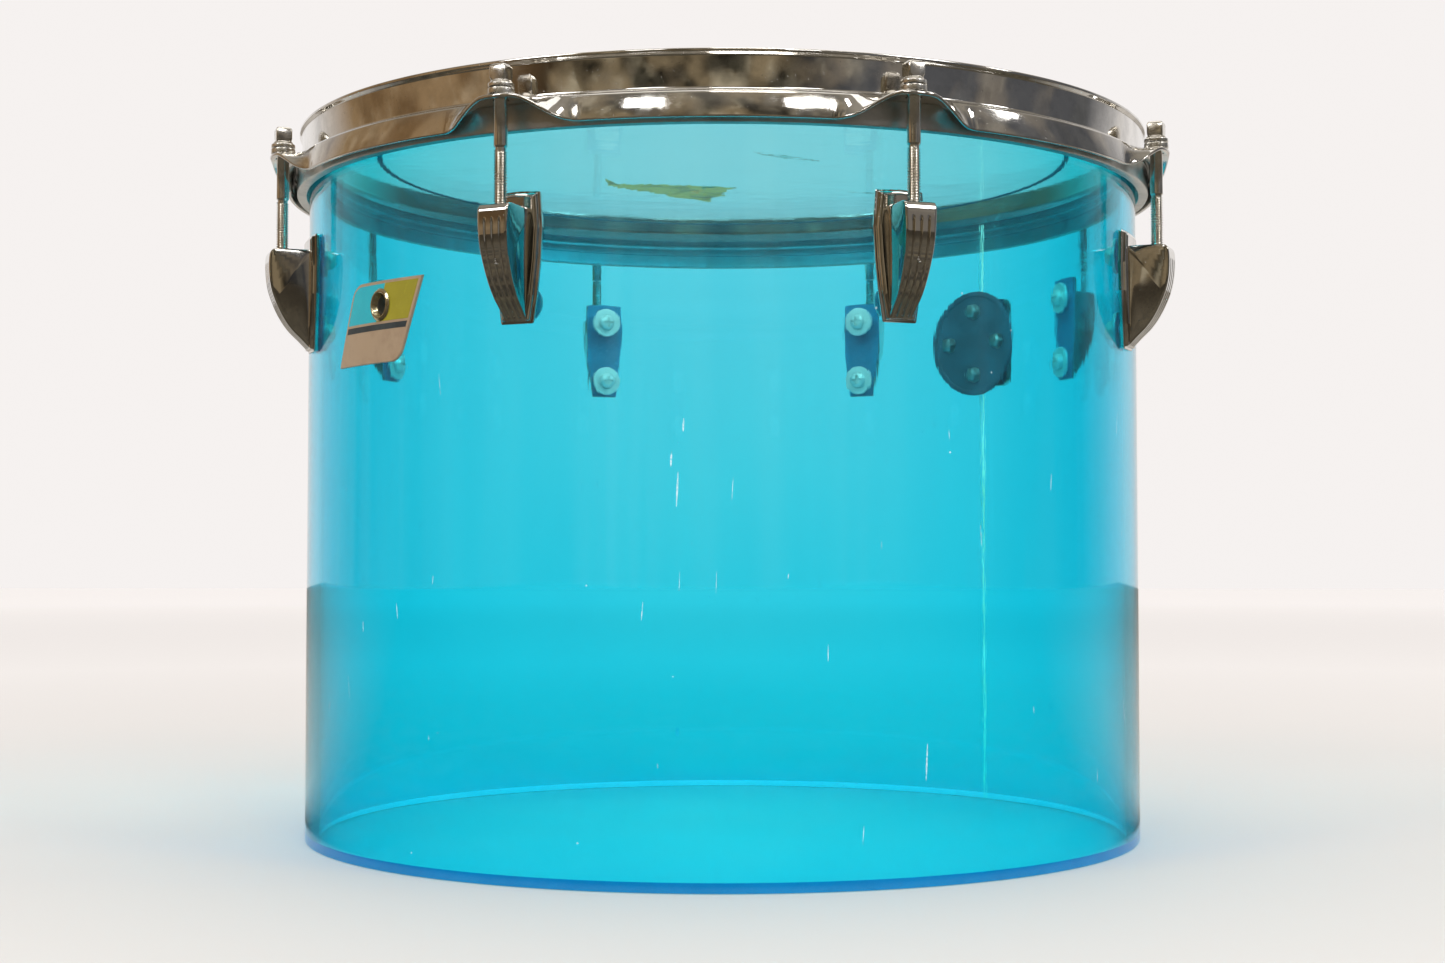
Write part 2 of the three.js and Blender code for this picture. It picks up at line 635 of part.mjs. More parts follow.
function bracketPlate() {
  const half = BRACKET_HALF_WIDTH;
  const corner = 2;
  const front = SHELL_RADIUS + BRACKET_PLATE_DEPTH;
  const edge = front - BRACKET_BEVEL;
  const outline = (inset) => {
    const shape = new THREE.Shape();
    const x = half - inset;
    const z = BRACKET_HALF_HEIGHT - inset;
    shape.moveTo(-x + corner, MOUNT_HEIGHT - z);
    shape.lineTo(x - corner, MOUNT_HEIGHT - z);
    shape.lineTo(x, MOUNT_HEIGHT - z + corner);
    shape.lineTo(x, MOUNT_HEIGHT + z - corner);
    shape.lineTo(x - corner, MOUNT_HEIGHT + z);
    shape.lineTo(-x + corner, MOUNT_HEIGHT + z);
    shape.lineTo(-x, MOUNT_HEIGHT + z - corner);
    shape.lineTo(-x, MOUNT_HEIGHT - z + corner);
    return shape;
  };
  const base = extrudedOutward(outline(0), SHELL_RADIUS - 5, edge);
  return joined(base, extrudedOutward(outline(BRACKET_BEVEL), edge - 0.5, front));
}

function makeBracket() {
  const bottom = MOUNT_HEIGHT - ARM_BOSS_HALF_HEIGHT;
  const top = MOUNT_HEIGHT + ARM_BOSS_HALF_HEIGHT;
  const toBore = [0, -SHELL_RADIUS - ARM_BORE_DEPTH, 0];
  const boss = cylinder(ARM_BOSS_RADIUS, bottom, top, BOSS_SEGMENTS).translate(toBore);
  const bore = cylinder(ARM_BORE_RADIUS, bottom - 1, top + 1, BOSS_SEGMENTS).translate(toBore);
  const clampBoss = turnedAlongClamp([
    [0, 2], [CLAMP_BOSS_RADIUS, 2], [CLAMP_BOSS_RADIUS, CLAMP_BOSS_END], [0, CLAMP_BOSS_END],
  ], ROD_SEGMENTS);
  const clampHole = turnedAlongClamp([
    [0, 1], [CLAMP_HOLE_RADIUS, 1],
    [CLAMP_HOLE_RADIUS, CLAMP_BOSS_END + 1], [0, CLAMP_BOSS_END + 1],
  ], ROD_SEGMENTS);
  let bracket = joined(bracketPlate(), boss, clampBoss).subtract(bore).subtract(clampHole);
  for (const [x, z] of boltPlaces) {
    const end = SHELL_RADIUS + BOLT_TIP_DEPTH + GAP;
    const hole = pinOutward(BOLT_HOLE_RADIUS, SHELL_INNER, end, SCREW_SEGMENTS, x, z);
    bracket = bracket.subtract(hole);
  }
  return bracket.subtract(shellOutside());
}

function makeClampPad() {
  return turnedAlongClamp([
    [0, PAD_TIP],
    [CLAMP_SCREW_RADIUS, PAD_TIP],
    [CLAMP_SCREW_RADIUS, PAD_TIP + PAD_LENGTH],
    [0, PAD_TIP + PAD_LENGTH],
  ], ROD_SEGMENTS);
}

// One flat wing, above the screw's axis for side 1 and below it for side -1.
function wingShape(side) {
  const z = (share) => MOUNT_HEIGHT + side * WING_SPAN * share;
  const shape = new THREE.Shape();
  shape.moveTo(WING_START, z(0));
  shape.lineTo(WING_START + 0.5, z(0.35));
  shape.quadraticCurveTo(WING_START + 1, z(0.95), WING_END - 4, z(1));
  shape.quadraticCurveTo(WING_END + 1, z(0.95), WING_END - 1.5, z(0.6));
  shape.quadraticCurveTo(WING_START + 6, z(0.35), WING_START + 4, z(0));
  return shape;
}

// A thumb screw with two flat wings.
function makeWingScrew() {
  const start = PAD_TIP + PAD_LENGTH + GAP;
  const hubEnd = WING_HUB_START + WING_HUB_LENGTH;
  const screw = turnedAlongClamp([
    [0, start],
    [CLAMP_SCREW_RADIUS, start],
    [CLAMP_SCREW_RADIUS, WING_HUB_START],
    [WING_HUB_RADIUS, WING_HUB_START + 0.8],
    [WING_HUB_RADIUS, hubEnd - 1],
    [WING_HUB_RADIUS - 1.4, hubEnd],
    [0, hubEnd],
  ], ROD_SEGMENTS);
  const from = SHELL_RADIUS + ARM_BORE_DEPTH - WING_THICKNESS / 2;
  const wings = [1, -1].map((side) => (
    extrudedOutward(wingShape(side), from, from + WING_THICKNESS)
  ));
  return joined(screw, ...wings);
}

// ---------- assembly ----------

addPiece('shell', makeShell(), LOOKS.acrylic());
addPiece('drumhead_film', makeFilm(), LOOKS.film());
addPiece('flesh_hoop', makeFleshHoop(), LOOKS.aluminium());
addPiece('counter_hoop', makeCounterHoop(), LOOKS.chrome());

stationAngles.forEach((angle, index) => {
  const number = index + 1;
  addPiece(`tension_rod_${number}`, makeRod(), LOOKS.plated(), angle);
  addPiece(`rod_washer_${number}`, makeRodWasher(), LOOKS.plated(), angle);
  addPiece(`swivel_nut_${number}`, makeSwivelNut(), LOOKS.brass(), angle);
  addPiece(`lug_casing_${number}`, makeLugCasing(), LOOKS.chrome(), angle);
  for (const [place, height] of Object.entries(LUG_SCREW_HEIGHTS)) {
    addPiece(`lug_screw_${number}_${place}`, makeLugScrew(height), LOOKS.zinc(), angle);
  }
});

addPiece('badge', makeBadge(), LOOKS.badge(), BADGE_ANGLE);
addPiece('vent_grommet', makeGrommet(), LOOKS.nickel(), GROMMET_ANGLE);
addPiece('mount_backing_plate', makeBackingPlate(), LOOKS.blackened(), MOUNT_ANGLE);
addPiece('mount_bracket', makeBracket(), LOOKS.cast(), MOUNT_ANGLE);
addPiece('clamp_pad', makeClampPad(), LOOKS.brass(), MOUNT_ANGLE);
addPiece('wing_screw', makeWingScrew(), LOOKS.chrome(), MOUNT_ANGLE);

export default drum;
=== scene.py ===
import contextlib
import random
from math import atan2, cos, degrees, hypot, pi, radians, sin, sqrt, tan

import bmesh
import bpy
from mathutils import Matrix, Vector


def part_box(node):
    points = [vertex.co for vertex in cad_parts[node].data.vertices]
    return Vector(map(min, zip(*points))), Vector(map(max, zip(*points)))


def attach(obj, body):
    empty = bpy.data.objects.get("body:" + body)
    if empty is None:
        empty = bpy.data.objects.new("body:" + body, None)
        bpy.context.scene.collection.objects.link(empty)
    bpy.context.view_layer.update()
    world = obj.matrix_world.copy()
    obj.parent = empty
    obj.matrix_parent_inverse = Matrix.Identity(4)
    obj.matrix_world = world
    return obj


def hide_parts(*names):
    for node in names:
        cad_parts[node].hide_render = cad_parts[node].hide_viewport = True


# Looks of a single-headed acrylic concert tom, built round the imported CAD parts.
# Shapes are drawn in millimetres and turned into metres as each mesh is made. Angles round
# the drum are in degrees from -Y, the front, turning towards +X. In a station's own frame X is
# tangential, -Y points out of the drum and Z is up.

MM = 0.001

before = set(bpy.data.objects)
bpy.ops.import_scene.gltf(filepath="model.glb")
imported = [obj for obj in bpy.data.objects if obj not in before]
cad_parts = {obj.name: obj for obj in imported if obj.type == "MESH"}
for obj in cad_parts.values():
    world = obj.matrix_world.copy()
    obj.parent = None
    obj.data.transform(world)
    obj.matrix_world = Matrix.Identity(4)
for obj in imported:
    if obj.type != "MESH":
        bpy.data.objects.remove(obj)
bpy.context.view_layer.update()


def node_place(node):
    """Angle round the drum, distance from its axis and height of a CAD node's middle."""
    low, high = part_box(node)
    centre = (low + high) / 2 / MM
    angle = degrees(atan2(centre.x, -centre.y))
    return angle, hypot(centre.x, centre.y), centre.z


def node_heights(node):
    low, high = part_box(node)
    return low.z / MM, high.z / MM


# ---------- driving dimensions ----------

ROUND = 256  # segments in the large rings
STATION_ANGLES = {number: node_place(f"tension_rod_{number}")[0] for number in range(1, 9)}
ROD_CIRCLE = node_place("tension_rod_1")[1]
TO_ROD = Matrix.Translation((0, -ROD_CIRCLE, 0))  # from the drum's axis to a station's rod

SHELL_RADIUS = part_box("shell")[1].x / MM
SHELL_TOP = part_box("shell")[1].z / MM
SHELL_INNER = SHELL_RADIUS - 6  # the wall's thickness
BEARING_PEAK = SHELL_RADIUS - 0.8
RIM_BEVEL = 3.4  # the sanded bevel inside the bottom rim
SEAM_ANGLE = 132.8

FILM_TOP = node_heights("drumhead_film")[1]
FILM_THICKNESS = 0.4
RING_LINE_RADIUS, RING_LINE_HALF = 158.4, 1.2

HOOP_TOP = node_heights("counter_hoop")[1]
HOOP_INNER = SHELL_RADIUS + 1.8
HOOP_SHEET = 1.6  # the steel's thickness
SKIRT_LEAN = 0.16  # the skirt's lean from straight down, in radians

LUG_BOTTOM, LUG_TOP = node_heights("lug_casing_1")
SCREW_HEIGHTS = {place: node_place(f"lug_screw_1_{place}")[2] for place in ("upper", "lower")}

BADGE_ANGLE, _, BADGE_HEIGHT = node_place("badge")
GROMMET_ANGLE, _, GROMMET_HEIGHT = node_place("vent_grommet")
MOUNT_HEIGHT = node_place("clamp_pad")[2]
MOUNT_ANGLE = 134.2
BORE_DEPTH = 10.4  # from the shell's outside to the middle of the arm's bore


# ---------- mesh helpers ----------


def smooth(share):
    share = min(max(share, 0.0), 1.0)
    return share * share * (3 - 2 * share)


def mix(a, b, share):
    return a + (b - a) * share


def corner_cut(gap, radius):
    """How far a round corner moves a side in, at this distance from the end."""
    if gap >= radius:
        return 0.0
    return radius - sqrt(max(radius ** 2 - (radius - gap) ** 2, 0))


def rounded(corners, closed=True, steps=4):
    """Outline with each (x, y, radius) corner turned into an arc; radius 0 leaves it sharp."""
    outline = []
    count = len(corners)
    for index, (x, y, radius) in enumerate(corners):
        here = Vector((x, y))
        if radius == 0 or (not closed and index in (0, count - 1)):
            outline.append((x, y))
            continue
        before = Vector(corners[index - 1][:2]) - here
        after = Vector(corners[(index + 1) % count][:2]) - here
        half = before.angle(after) / 2
        reach = radius / tan(half)
        reach = min(reach, before.length * 0.48, after.length * 0.48)
        start = here + before.normalized() * reach
        end = here + after.normalized() * reach
        for step in range(steps + 1):
            s = step / steps
            outline.append(tuple((1 - s) ** 2 * start + 2 * s * (1 - s) * here + s * s * end))
    return outline


def grid_faces(rows, columns, rows_close=False, columns_close=False):
    """Quads over a grid of vertices numbered row by row."""
    faces = []
    for row in range(rows if rows_close else rows - 1):
        next_row = (row + 1) % rows
        for column in range(columns if columns_close else columns - 1):
            next_column = (column + 1) % columns
            faces.append((
                row * columns + column, row * columns + next_column,
                next_row * columns + next_column, next_row * columns + column,
            ))
    return faces


@contextlib.contextmanager
def reworked(mesh):
    """The mesh opened as a bmesh, and written back at the end."""
    work = bmesh.new()
    work.from_mesh(mesh)
    yield work
    work.to_mesh(mesh)
    work.free()


def shade(mesh, sharp):
    """Smooth shading, but for the edges that bend by more than this angle."""
    mesh.shade_smooth()
    mesh.set_sharp_from_angle(angle=radians(sharp))


def make_mesh(name, parts, looks, sharp=32):
    """A mesh in metres from (vertices in millimetres, faces) parts, with its faces outward.

    looks names its materials in LOOKS, with spaces between them.
    """
    vertices, faces = [], []
    for part_vertices, part_faces in parts:
        start = len(vertices)
        vertices.extend(tuple(c * MM for c in vertex) for vertex in part_vertices)
        faces.extend(tuple(start + corner for corner in face) for face in part_faces)
    mesh = bpy.data.meshes.new(name)
    mesh.from_pydata(vertices, [], faces)
    for look in looks.split():
        mesh.materials.append(LOOKS[look])
    with reworked(mesh) as work:
        bmesh.ops.remove_doubles(work, verts=work.verts, dist=1e-6)
        bmesh.ops.dissolve_degenerate(work, edges=work.edges, dist=1e-7)
        bmesh.ops.recalc_face_normals(work, faces=work.faces)
    shade(mesh, sharp)
    return mesh


def around(radius, turn, height):
    """The point at a turn in radians, from -Y towards +X."""
    return radius * sin(turn), -radius * cos(turn), height


def lathe(outline, segments, closed=True):
    """Turned about Z from (radius, height) pairs."""
    turns = [2 * pi * step / segments for step in range(segments)]
    vertices = [around(radius, turn, height) for radius, height in outline for turn in turns]
    return vertices, grid_faces(len(outline), segments, closed, True)


def turned_ring(corners, segments, steps=4):
    """Turned about Z from (radius, height, rounding) corners that close on themselves."""
    return lathe(rounded(corners, steps=steps), segments)


def turned_solid(corners, segments, steps=4):
    """Turned about Z from corners that begin and end on the axis."""
    return lathe(rounded(corners, closed=False, steps=steps), segments, closed=False)


def cylinder(radius, start, end, segments):
    return lathe([(0, start), (radius, start), (radius, end), (0, end)], segments, closed=False)


def spun(angle):
    return Matrix.Rotation(radians(angle), 4, "Z")


def moved(part, matrix):
    vertices, faces = part
    return [tuple(matrix @ Vector(vertex)) for vertex in vertices], faces


def outward(part, x, z):
    """Carries a part turned about Z so that its axis points out of the drum at X = x, Z = z."""
    turn = Matrix(((1, 0, 0, x), (0, 0, -1, 0), (0, 1, 0, z), (0, 0, 0, 1)))
    return moved(part, turn)


def sideways(part):
    """Carries a part turned about Z so that its axis is the arm holder's clamp axis, along +X."""
    depth = -SHELL_RADIUS - BORE_DEPTH
    turn = Matrix(((0, 0, 1, 0), (0, 1, 0, depth), (-1, 0, 0, MOUNT_HEIGHT), (0, 0, 0, 1)))
    return moved(part, turn)


def stacked(rings):
    """A closed solid skinned over rings with equal numbers of corners, flat at both ends."""
    count = len(rings[0])
    vertices = [corner for ring in rings for corner in ring]
    faces = grid_faces(len(rings), count, False, True)
    faces.append(tuple(range(count)))
    faces.append(tuple(range((len(rings) - 1) * count, len(rings) * count)))
    return vertices, faces


def panel(left, right, heights, inner, outer, edge=0.15, columns=24):
    """A thin closed plate bent to the shell. left and right give its sides at each height."""
    rows = len(heights)
    middle = (heights[0] + heights[-1]) / 2
    tall = heights[-1] - heights[0]
    shrink = 1 - 2 * edge / max(tall, 2 * edge + 0.01)
    skins = []
    for radius, inset in ((inner, 0), (mix(inner, outer, 0.6), 0), (outer, edge)):
        skin = []
        for height in heights:
            z = height if inset == 0 else middle + (height - middle) * shrink
            a, b = left(height) + inset, right(height) - inset
            for column in range(columns):
                turn = mix(a, b, column / (columns - 1)) / radius
                skin.append(around(radius, turn, z))
        skins.append(skin)
    border = [(0, column) for column in range(columns)]
    border += [(row, columns - 1) for row in range(1, rows)]
    border += [(rows - 1, column) for column in range(columns - 2, -1, -1)]
    border += [(row, 0) for row in range(rows - 2, 0, -1)]
    size = rows * columns
    vertices = skins[0] + skins[1] + skins[2]
    faces = grid_faces(rows, columns)
    faces += [tuple(corner + 2 * size for corner in face) for face in grid_faces(rows, columns)]
    for (row_a, column_a), (row_b, column_b) in zip(border, border[1:] + border[:1]):
        a, b = row_a * columns + column_a, row_b * columns + column_b
        faces.append((a, b, b + size, a + size))
        faces.append((a + size, b + size, b + 2 * size, a + 2 * size))
    used = sorted({corner for face in faces for corner in face})
    number = {corner: index for index, corner in enumerate(used)}
    return [vertices[c] for c in used], [tuple(number[c] for c in face) for face in faces]


def solver_ready(mesh):
    """Flat triangles in millimetres, which the boolean solver takes most reliably."""
    with reworked(mesh) as work:
        bmesh.ops.triangulate(work, faces=work.faces)
        bmesh.ops.scale(work, vec=(1 / MM,) * 3, verts=work.verts)


def placed(name, data):
    """A new object in the scene."""
    made = bpy.data.objects.new(name, data)
    bpy.context.collection.objects.link(made)
    return made


def carve(mesh, cutters, operation="DIFFERENCE", sharp=32):
    """The mesh with each cutter, a list of (parts, look), cut from it or joined to it."""
    solver_ready(mesh)
    target = placed("carved", mesh)
    tools = []
    for parts, look in cutters:
        tool_mesh = make_mesh("tool", parts, look)
        solver_ready(tool_mesh)
        tool = placed("tool", tool_mesh)
        change = target.modifiers.new("carve", "BOOLEAN")
        change.operation = operation
        change.solver = "EXACT"
        change.material_mode = "TRANSFER"
        change.object = tool
        tools.append(tool)
    graph = bpy.context.evaluated_depsgraph_get()
    made = bpy.data.meshes.new_from_object(target.evaluated_get(graph), depsgraph=graph)
    name = mesh.name
    for thing in [target, *tools]:
        old = thing.data
        bpy.data.objects.remove(thing)
        bpy.data.meshes.remove(old)
    made.name = name
    made.transform(Matrix.Scale(MM, 4))
    shade(made, sharp)
    return made


def show(name, mesh, body, nodes=(), angle=0.0):
    """A shown piece that rides on a CAD body, turned to its angle round the drum."""
    piece = placed(name, mesh)
    piece.matrix_world = spun(angle)
    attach(piece, body)
    if nodes:
        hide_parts(*nodes)


# ---------- material helpers ----------


class Shader:
    """The node tree of a material or a world, with short ways to add and join its nodes."""

    def __init__(self, owner, output, place):
        owner.use_nodes = True
        self.owner = owner
        self.tree = owner.node_tree
        self.tree.nodes.clear()
        self.output = self.node(output)
        self.place = self.node("TexCoord").outputs[place]

    def node(self, kind, values=None, **settings):
        made = self.tree.nodes.new("ShaderNode" + kind)
        for key, value in settings.items():
            setattr(made, key, value)
        for key, value in (values or {}).items():
            self.feed(made.inputs[key], value)
        return made

    def feed(self, socket, value):
        if isinstance(value, bpy.types.NodeSocket):
            self.tree.links.new(value, socket)
        elif isinstance(value, tuple) and len(value) == 3 and socket.type == "RGBA":
            socket.default_value = (*value, 1)
        else:
            socket.default_value = value

    def stretched(self, scale):
        return self.node("Mapping", {"Vector": self.place, "Scale": scale}).outputs[0]

    def noise(self, scale, detail=4.0, rough=0.55, vector=None):
        values = {"Scale": scale, "Detail": detail, "Roughness": rough}
        values["Vector"] = vector or self.place
        return self.node("TexNoise", values).outputs["Fac"]

    def cells(self, scale):
        return self.node("TexVoronoi", {"Vector": self.place, "Scale": scale}).outputs["Distance"]

    def span(self, value, low, high, to_low=0.0, to_high=1.0):
        ends = {"From Min": low, "From Max": high, "To Min": to_low, "To Max": to_high}
        return self.node("MapRange", {"Value": value, **ends}).outputs["Result"]

    def axis(self, vector, name):
        return self.node("SeparateXYZ", {"Vector": vector}).outputs[name]

    def maths(self, operation, a, b=0.0):
        return self.node("Math", {0: a, 1: b}, operation=operation).outputs[0]

    def tint(self, share, a, b):
        made = self.node("Mix", data_type="RGBA")
        self.feed(made.inputs["Factor"], share)
        self.feed(made.inputs[6], a)
        self.feed(made.inputs[7], b)
        return made.outputs[2]

    def bump(self, height, strength, distance, normal=None):
        values = {"Height": height, "Strength": strength, "Distance": distance}
        if normal is not None:
            values["Normal"] = normal
        return self.node("Bump", values).outputs["Normal"]

    def surface(self, colour, roughness, normal=None, more=None):
        values = {"Base Color": colour, "Roughness": roughness, **(more or {})}
        if normal is not None:
            values["Normal"] = normal
        made = self.node("BsdfPrincipled", values)
        self.feed(self.output.inputs["Surface"], made.outputs[0])
        return made


def material_shader(name):
    return Shader(bpy.data.materials.new(name), "OutputMaterial", "Object")


def glow(colour, strength):
    return {"Emission Color": colour, "Emission Strength": strength}


def let_lamps_through(shader, glass, tint):
    """Glass that stops no lamp light, so that what is behind it is lit."""
    clear = shader.node("BsdfTransparent", {"Color": tint})
    ray = shader.node("LightPath").outputs["Is Shadow Ray"]
    both = shader.node("MixShader", {0: ray, 1: glass.outputs[0], 2: clear.outputs[0]})
    shader.feed(shader.output.inputs["Surface"], both.outputs[0])


# ---------- materials ----------

STUDIO_PALE = (0.92, 0.885, 0.87)  # the background, and the far floor's glow


def acrylic_material():
    shader = material_shader("blue_acrylic")
    haze = shader.span(shader.noise(9, 3), 0.35, 0.7)
    specks = shader.span(shader.cells(260), 0.03, 0.07)
    height = shader.axis(shader.place, "Z")
    # Painted glow: the glass tint pales towards the top and where the wall is seen square on,
    # standing in for light scattered in the wall.
    rise = shader.maths("POWER", shader.span(height, 0.05, 0.275, 0.02, 1.0), 0.6)
    facing = shader.node("LayerWeight", {"Blend": 0.5}).outputs["Facing"]
    square_on_glow = shader.span(facing, 0.0, 0.48, 1.0, 0.0)
    low = shader.tint(haze, (0.02, 0.9, 0.96), (0.03, 0.94, 0.985))
    high = shader.tint(haze, (0.93, 0.985, 1.0), (1.0, 1.0, 1.0))
    tone = shader.tint(shader.maths("MULTIPLY", rise, square_on_glow), low, high)
    waves = shader.noise(6, 2, 0.4, shader.stretched((1, 1, 0.35)))
    rubs = shader.noise(420, 3, 0.6, shader.stretched((1, 1, 0.08)))
    normal = shader.bump(waves, 0.25, 0.0006)
    glass = shader.surface(
        shader.tint(specks, (0.35, 0.5, 0.55), tone), 0.015,
        shader.bump(rubs, 0.04, 0.0002, normal), {"IOR": 1.49, "Transmission Weight": 0.99},
    )
    let_lamps_through(shader, glass, (0.92, 0.96, 1.0))
    dye = shader.node("VolumeAbsorption", {"Color": (0.0, 0.895, 0.985), "Density": 182})
    shader.feed(shader.output.inputs["Volume"], dye.outputs[0])
    return shader.owner


def sanded_edge_material():
    """The shell's cut rim, left matt by the saw and the sanding block. It is pale and frosted from
    the air and deep blue through the wall, and all of it has a painted glow for the light that
    leaves a cut edge.
    """
    shader = material_shader("sanded_edge")
    marks = shader.noise(900, 3, 0.6, shader.stretched((1, 1, 0.1)))
    cloud = shader.noise(40, 4)
    frosted = shader.tint(cloud, (0.34, 0.72, 0.84), (0.5, 0.84, 0.92))
    deep = shader.tint(cloud, (0.0, 0.15, 0.32), (0.003, 0.22, 0.42))
    through_wall = shader.node("NewGeometry").outputs["Backfacing"]
    tone = shader.tint(through_wall, frosted, deep)
    roughness = shader.span(marks, 0.3, 0.7, 0.45, 0.7)
    # The emission is a painted glow of light leaving the cut edge, not light of its own.
    shader.surface(tone, roughness, shader.bump(marks, 0.3, 0.0002), glow(tone, 0.35))
    return shader.owner


def film_material():
    shader = material_shader("clear_film")
    marks = shader.span(shader.noise(26, 5, 0.7), 0.66, 0.7)
    clear = shader.tint(marks, (1.0, 1.0, 1.0), (0.72, 0.8, 0.8))
    wrinkles = shader.noise(17, 4, 0.6, shader.stretched((1, 1.6, 1)))
    normal = shader.bump(wrinkles, 0.35, 0.0008)
    glass = shader.surface(clear, 0.03, normal, {"IOR": 1.1, "Transmission Weight": 0.97})
    let_lamps_through(shader, glass, (0.95, 0.95, 0.95))
    return shader.owner


def metal_material(name, colour, roughness, smudge=0.06, pits=0.0, grain=None, dull=None,
                   metallic=1.0):
    """Plated or bare metal with smudges, hairline scratches, and pits or a brushed grain."""
    shader = material_shader(name)
    cloud = shader.noise(70, 5, 0.65)
    dark = dull or tuple(c * 0.72 for c in colour)
    tone = shader.tint(shader.span(cloud, 0.45, 0.75), colour, dark)
    scratch = shader.noise(900, 2, 0.5, shader.stretched(grain or (0.25, 0.25, 1)))
    normal = shader.bump(scratch, 0.05 if grain is None else 0.16, 0.00006)
    if pits:
        spots = shader.span(shader.cells(480), 0.05, 0.11)
        sparse = shader.span(shader.noise(55, 2), 0.5 - pits * 0.1, 0.56)
        mask = shader.maths("MAXIMUM", spots, sparse)
        tone = shader.tint(mask, tuple(c * 0.25 for c in colour), tone)
        normal = shader.bump(mask, 0.3, 0.00008, normal)
    worn = shader.span(shader.noise(130, 4, 0.6), 0.4, 0.75, roughness, roughness + smudge)
    shader.surface(tone, worn, normal, {"Metallic": metallic})
    return shader.owner


def paint_material(name, colour, other, roughness, speckle=600, bump=0.15, coat=0.0):
    """Paint, enamel or dirty plating with fine speckle and uneven tone."""
    shader = material_shader(name)
    cloud = shader.span(shader.noise(60, 4, 0.6), 0.4, 0.65)
    tone = shader.tint(cloud, colour, other)
    fine = shader.noise(speckle, 3, 0.6)
    bright = tuple(c * 1.35 for c in colour)
    shader.surface(
        shader.tint(shader.span(fine, 0.6, 0.75), tone, bright),
        shader.span(fine, 0.3, 0.7, roughness, roughness + 0.15),
        shader.bump(fine, bump, 0.0001), {"Coat Weight": coat},
    )
    return shader.owner


def tape_material(name, strength):
    """Old yellowed tape. Its underside gets a painted amber glow that stands in for the light from
    above soaking through the thin tape.
    """
    shader = material_shader(name)
    fibre = shader.noise(300, 4, 0.6, shader.stretched((0.4, 1, 1)))
    stain = shader.span(shader.noise(75, 5, 0.7), 0.5, 0.64)
    tone = shader.tint(shader.span(fibre, 0.35, 0.7), (0.5, 0.42, 0.1), (0.66, 0.56, 0.16))
    tone = shader.tint(stain, tone, (0.2, 0.15, 0.03))
    # Painted glow: the emission colour of the underside, darker where the tape is stained.
    painted_glow_amber = shader.tint(stain, (1.0, 0.36, 0.0), (0.4, 0.12, 0.0))
    shader.surface(tone, 0.85, shader.bump(fibre, 0.6, 0.0003), glow(painted_glow_amber, strength))
    return shader.owner


def thin_mark_material(name, colours, roughness, cover):
    """Thin smears and scuffs that stay partly clear."""
    shader = material_shader(name)
    tone = shader.tint(shader.noise(90), *colours)
    shader.surface(tone, roughness, more={"Alpha": cover(shader)})
    return shader.owner


def smeared(shader):
    return shader.span(shader.noise(260, 5, 0.7), 0.42, 0.6, 0.0, 0.55)


def scratched(shader):
    return shader.span(shader.noise(700, 3, 0.7), 0.4, 0.62, 0.1, 0.75)


def seam_material():
    shader = material_shader("glued_seam")
    drips = shader.noise(120, 4, 0.6, shader.stretched((1, 1, 0.2)))
    tone = shader.tint(shader.span(drips, 0.35, 0.65), (0.78, 0.86, 0.6), (0.98, 1.0, 0.84))
    cover = {"Alpha": shader.span(drips, 0.3, 0.6, 0.9, 1.0)}
    # The emission is a painted glow of light caught in the glue, which gives off none of its own.
    shader.surface(tone, 0.35, shader.bump(drips, 0.4, 0.0004), {**cover, **glow(tone, 0.2)})
    return shader.owner


def floor_material():
    """Pale floor, a little lit far away. In mirror reflections its front part is dark."""
    shader = material_shader("pale_floor")
    cloud = shader.noise(1.4, 4, 0.5)
    grain = shader.noise(160, 3, 0.6)
    pale = shader.tint(cloud, (0.63, 0.61, 0.59), (0.67, 0.65, 0.63))
    away = shader.node("VectorMath", {0: shader.place}, operation="LENGTH").outputs["Value"]
    pale = shader.tint(shader.span(away, 0.35, 1.6), pale, (0.8, 0.78, 0.765))
    distant = shader.span(away, 0.9, 5.5, 0.0, 0.25)
    rays = shader.node("LightPath").outputs
    straight = shader.maths("SUBTRACT", 1.0, rays["Is Transmission Ray"])
    mirrored = shader.maths("MULTIPLY", rays["Is Glossy Ray"], straight)
    unmirrored = shader.maths("SUBTRACT", 1.0, mirrored)
    aim = shader.node("VectorMath", {0: shader.place}, operation="NORMALIZE").outputs[0]
    across = shader.axis(aim, "Y")
    outside = shader.span(away, 0.2, 0.21)
    in_front = shader.maths("MULTIPLY", shader.span(across, 0.0, 0.45, 1.0, 0.0), outside)
    mottle = shader.span(shader.noise(14, 4, 0.65), 0.42, 0.62)
    dark = shader.tint(mottle, (0.03, 0.026, 0.018), (0.15, 0.125, 0.08))
    seen = shader.tint(in_front, (0.88, 0.86, 0.84), dark)
    light = glow(STUDIO_PALE, shader.maths("MULTIPLY", distant, unmirrored))
    tone = shader.tint(mirrored, pale, seen)
    shader.surface(tone, 0.75, shader.bump(grain, 0.05, 0.0004), light)
    return shader.owner


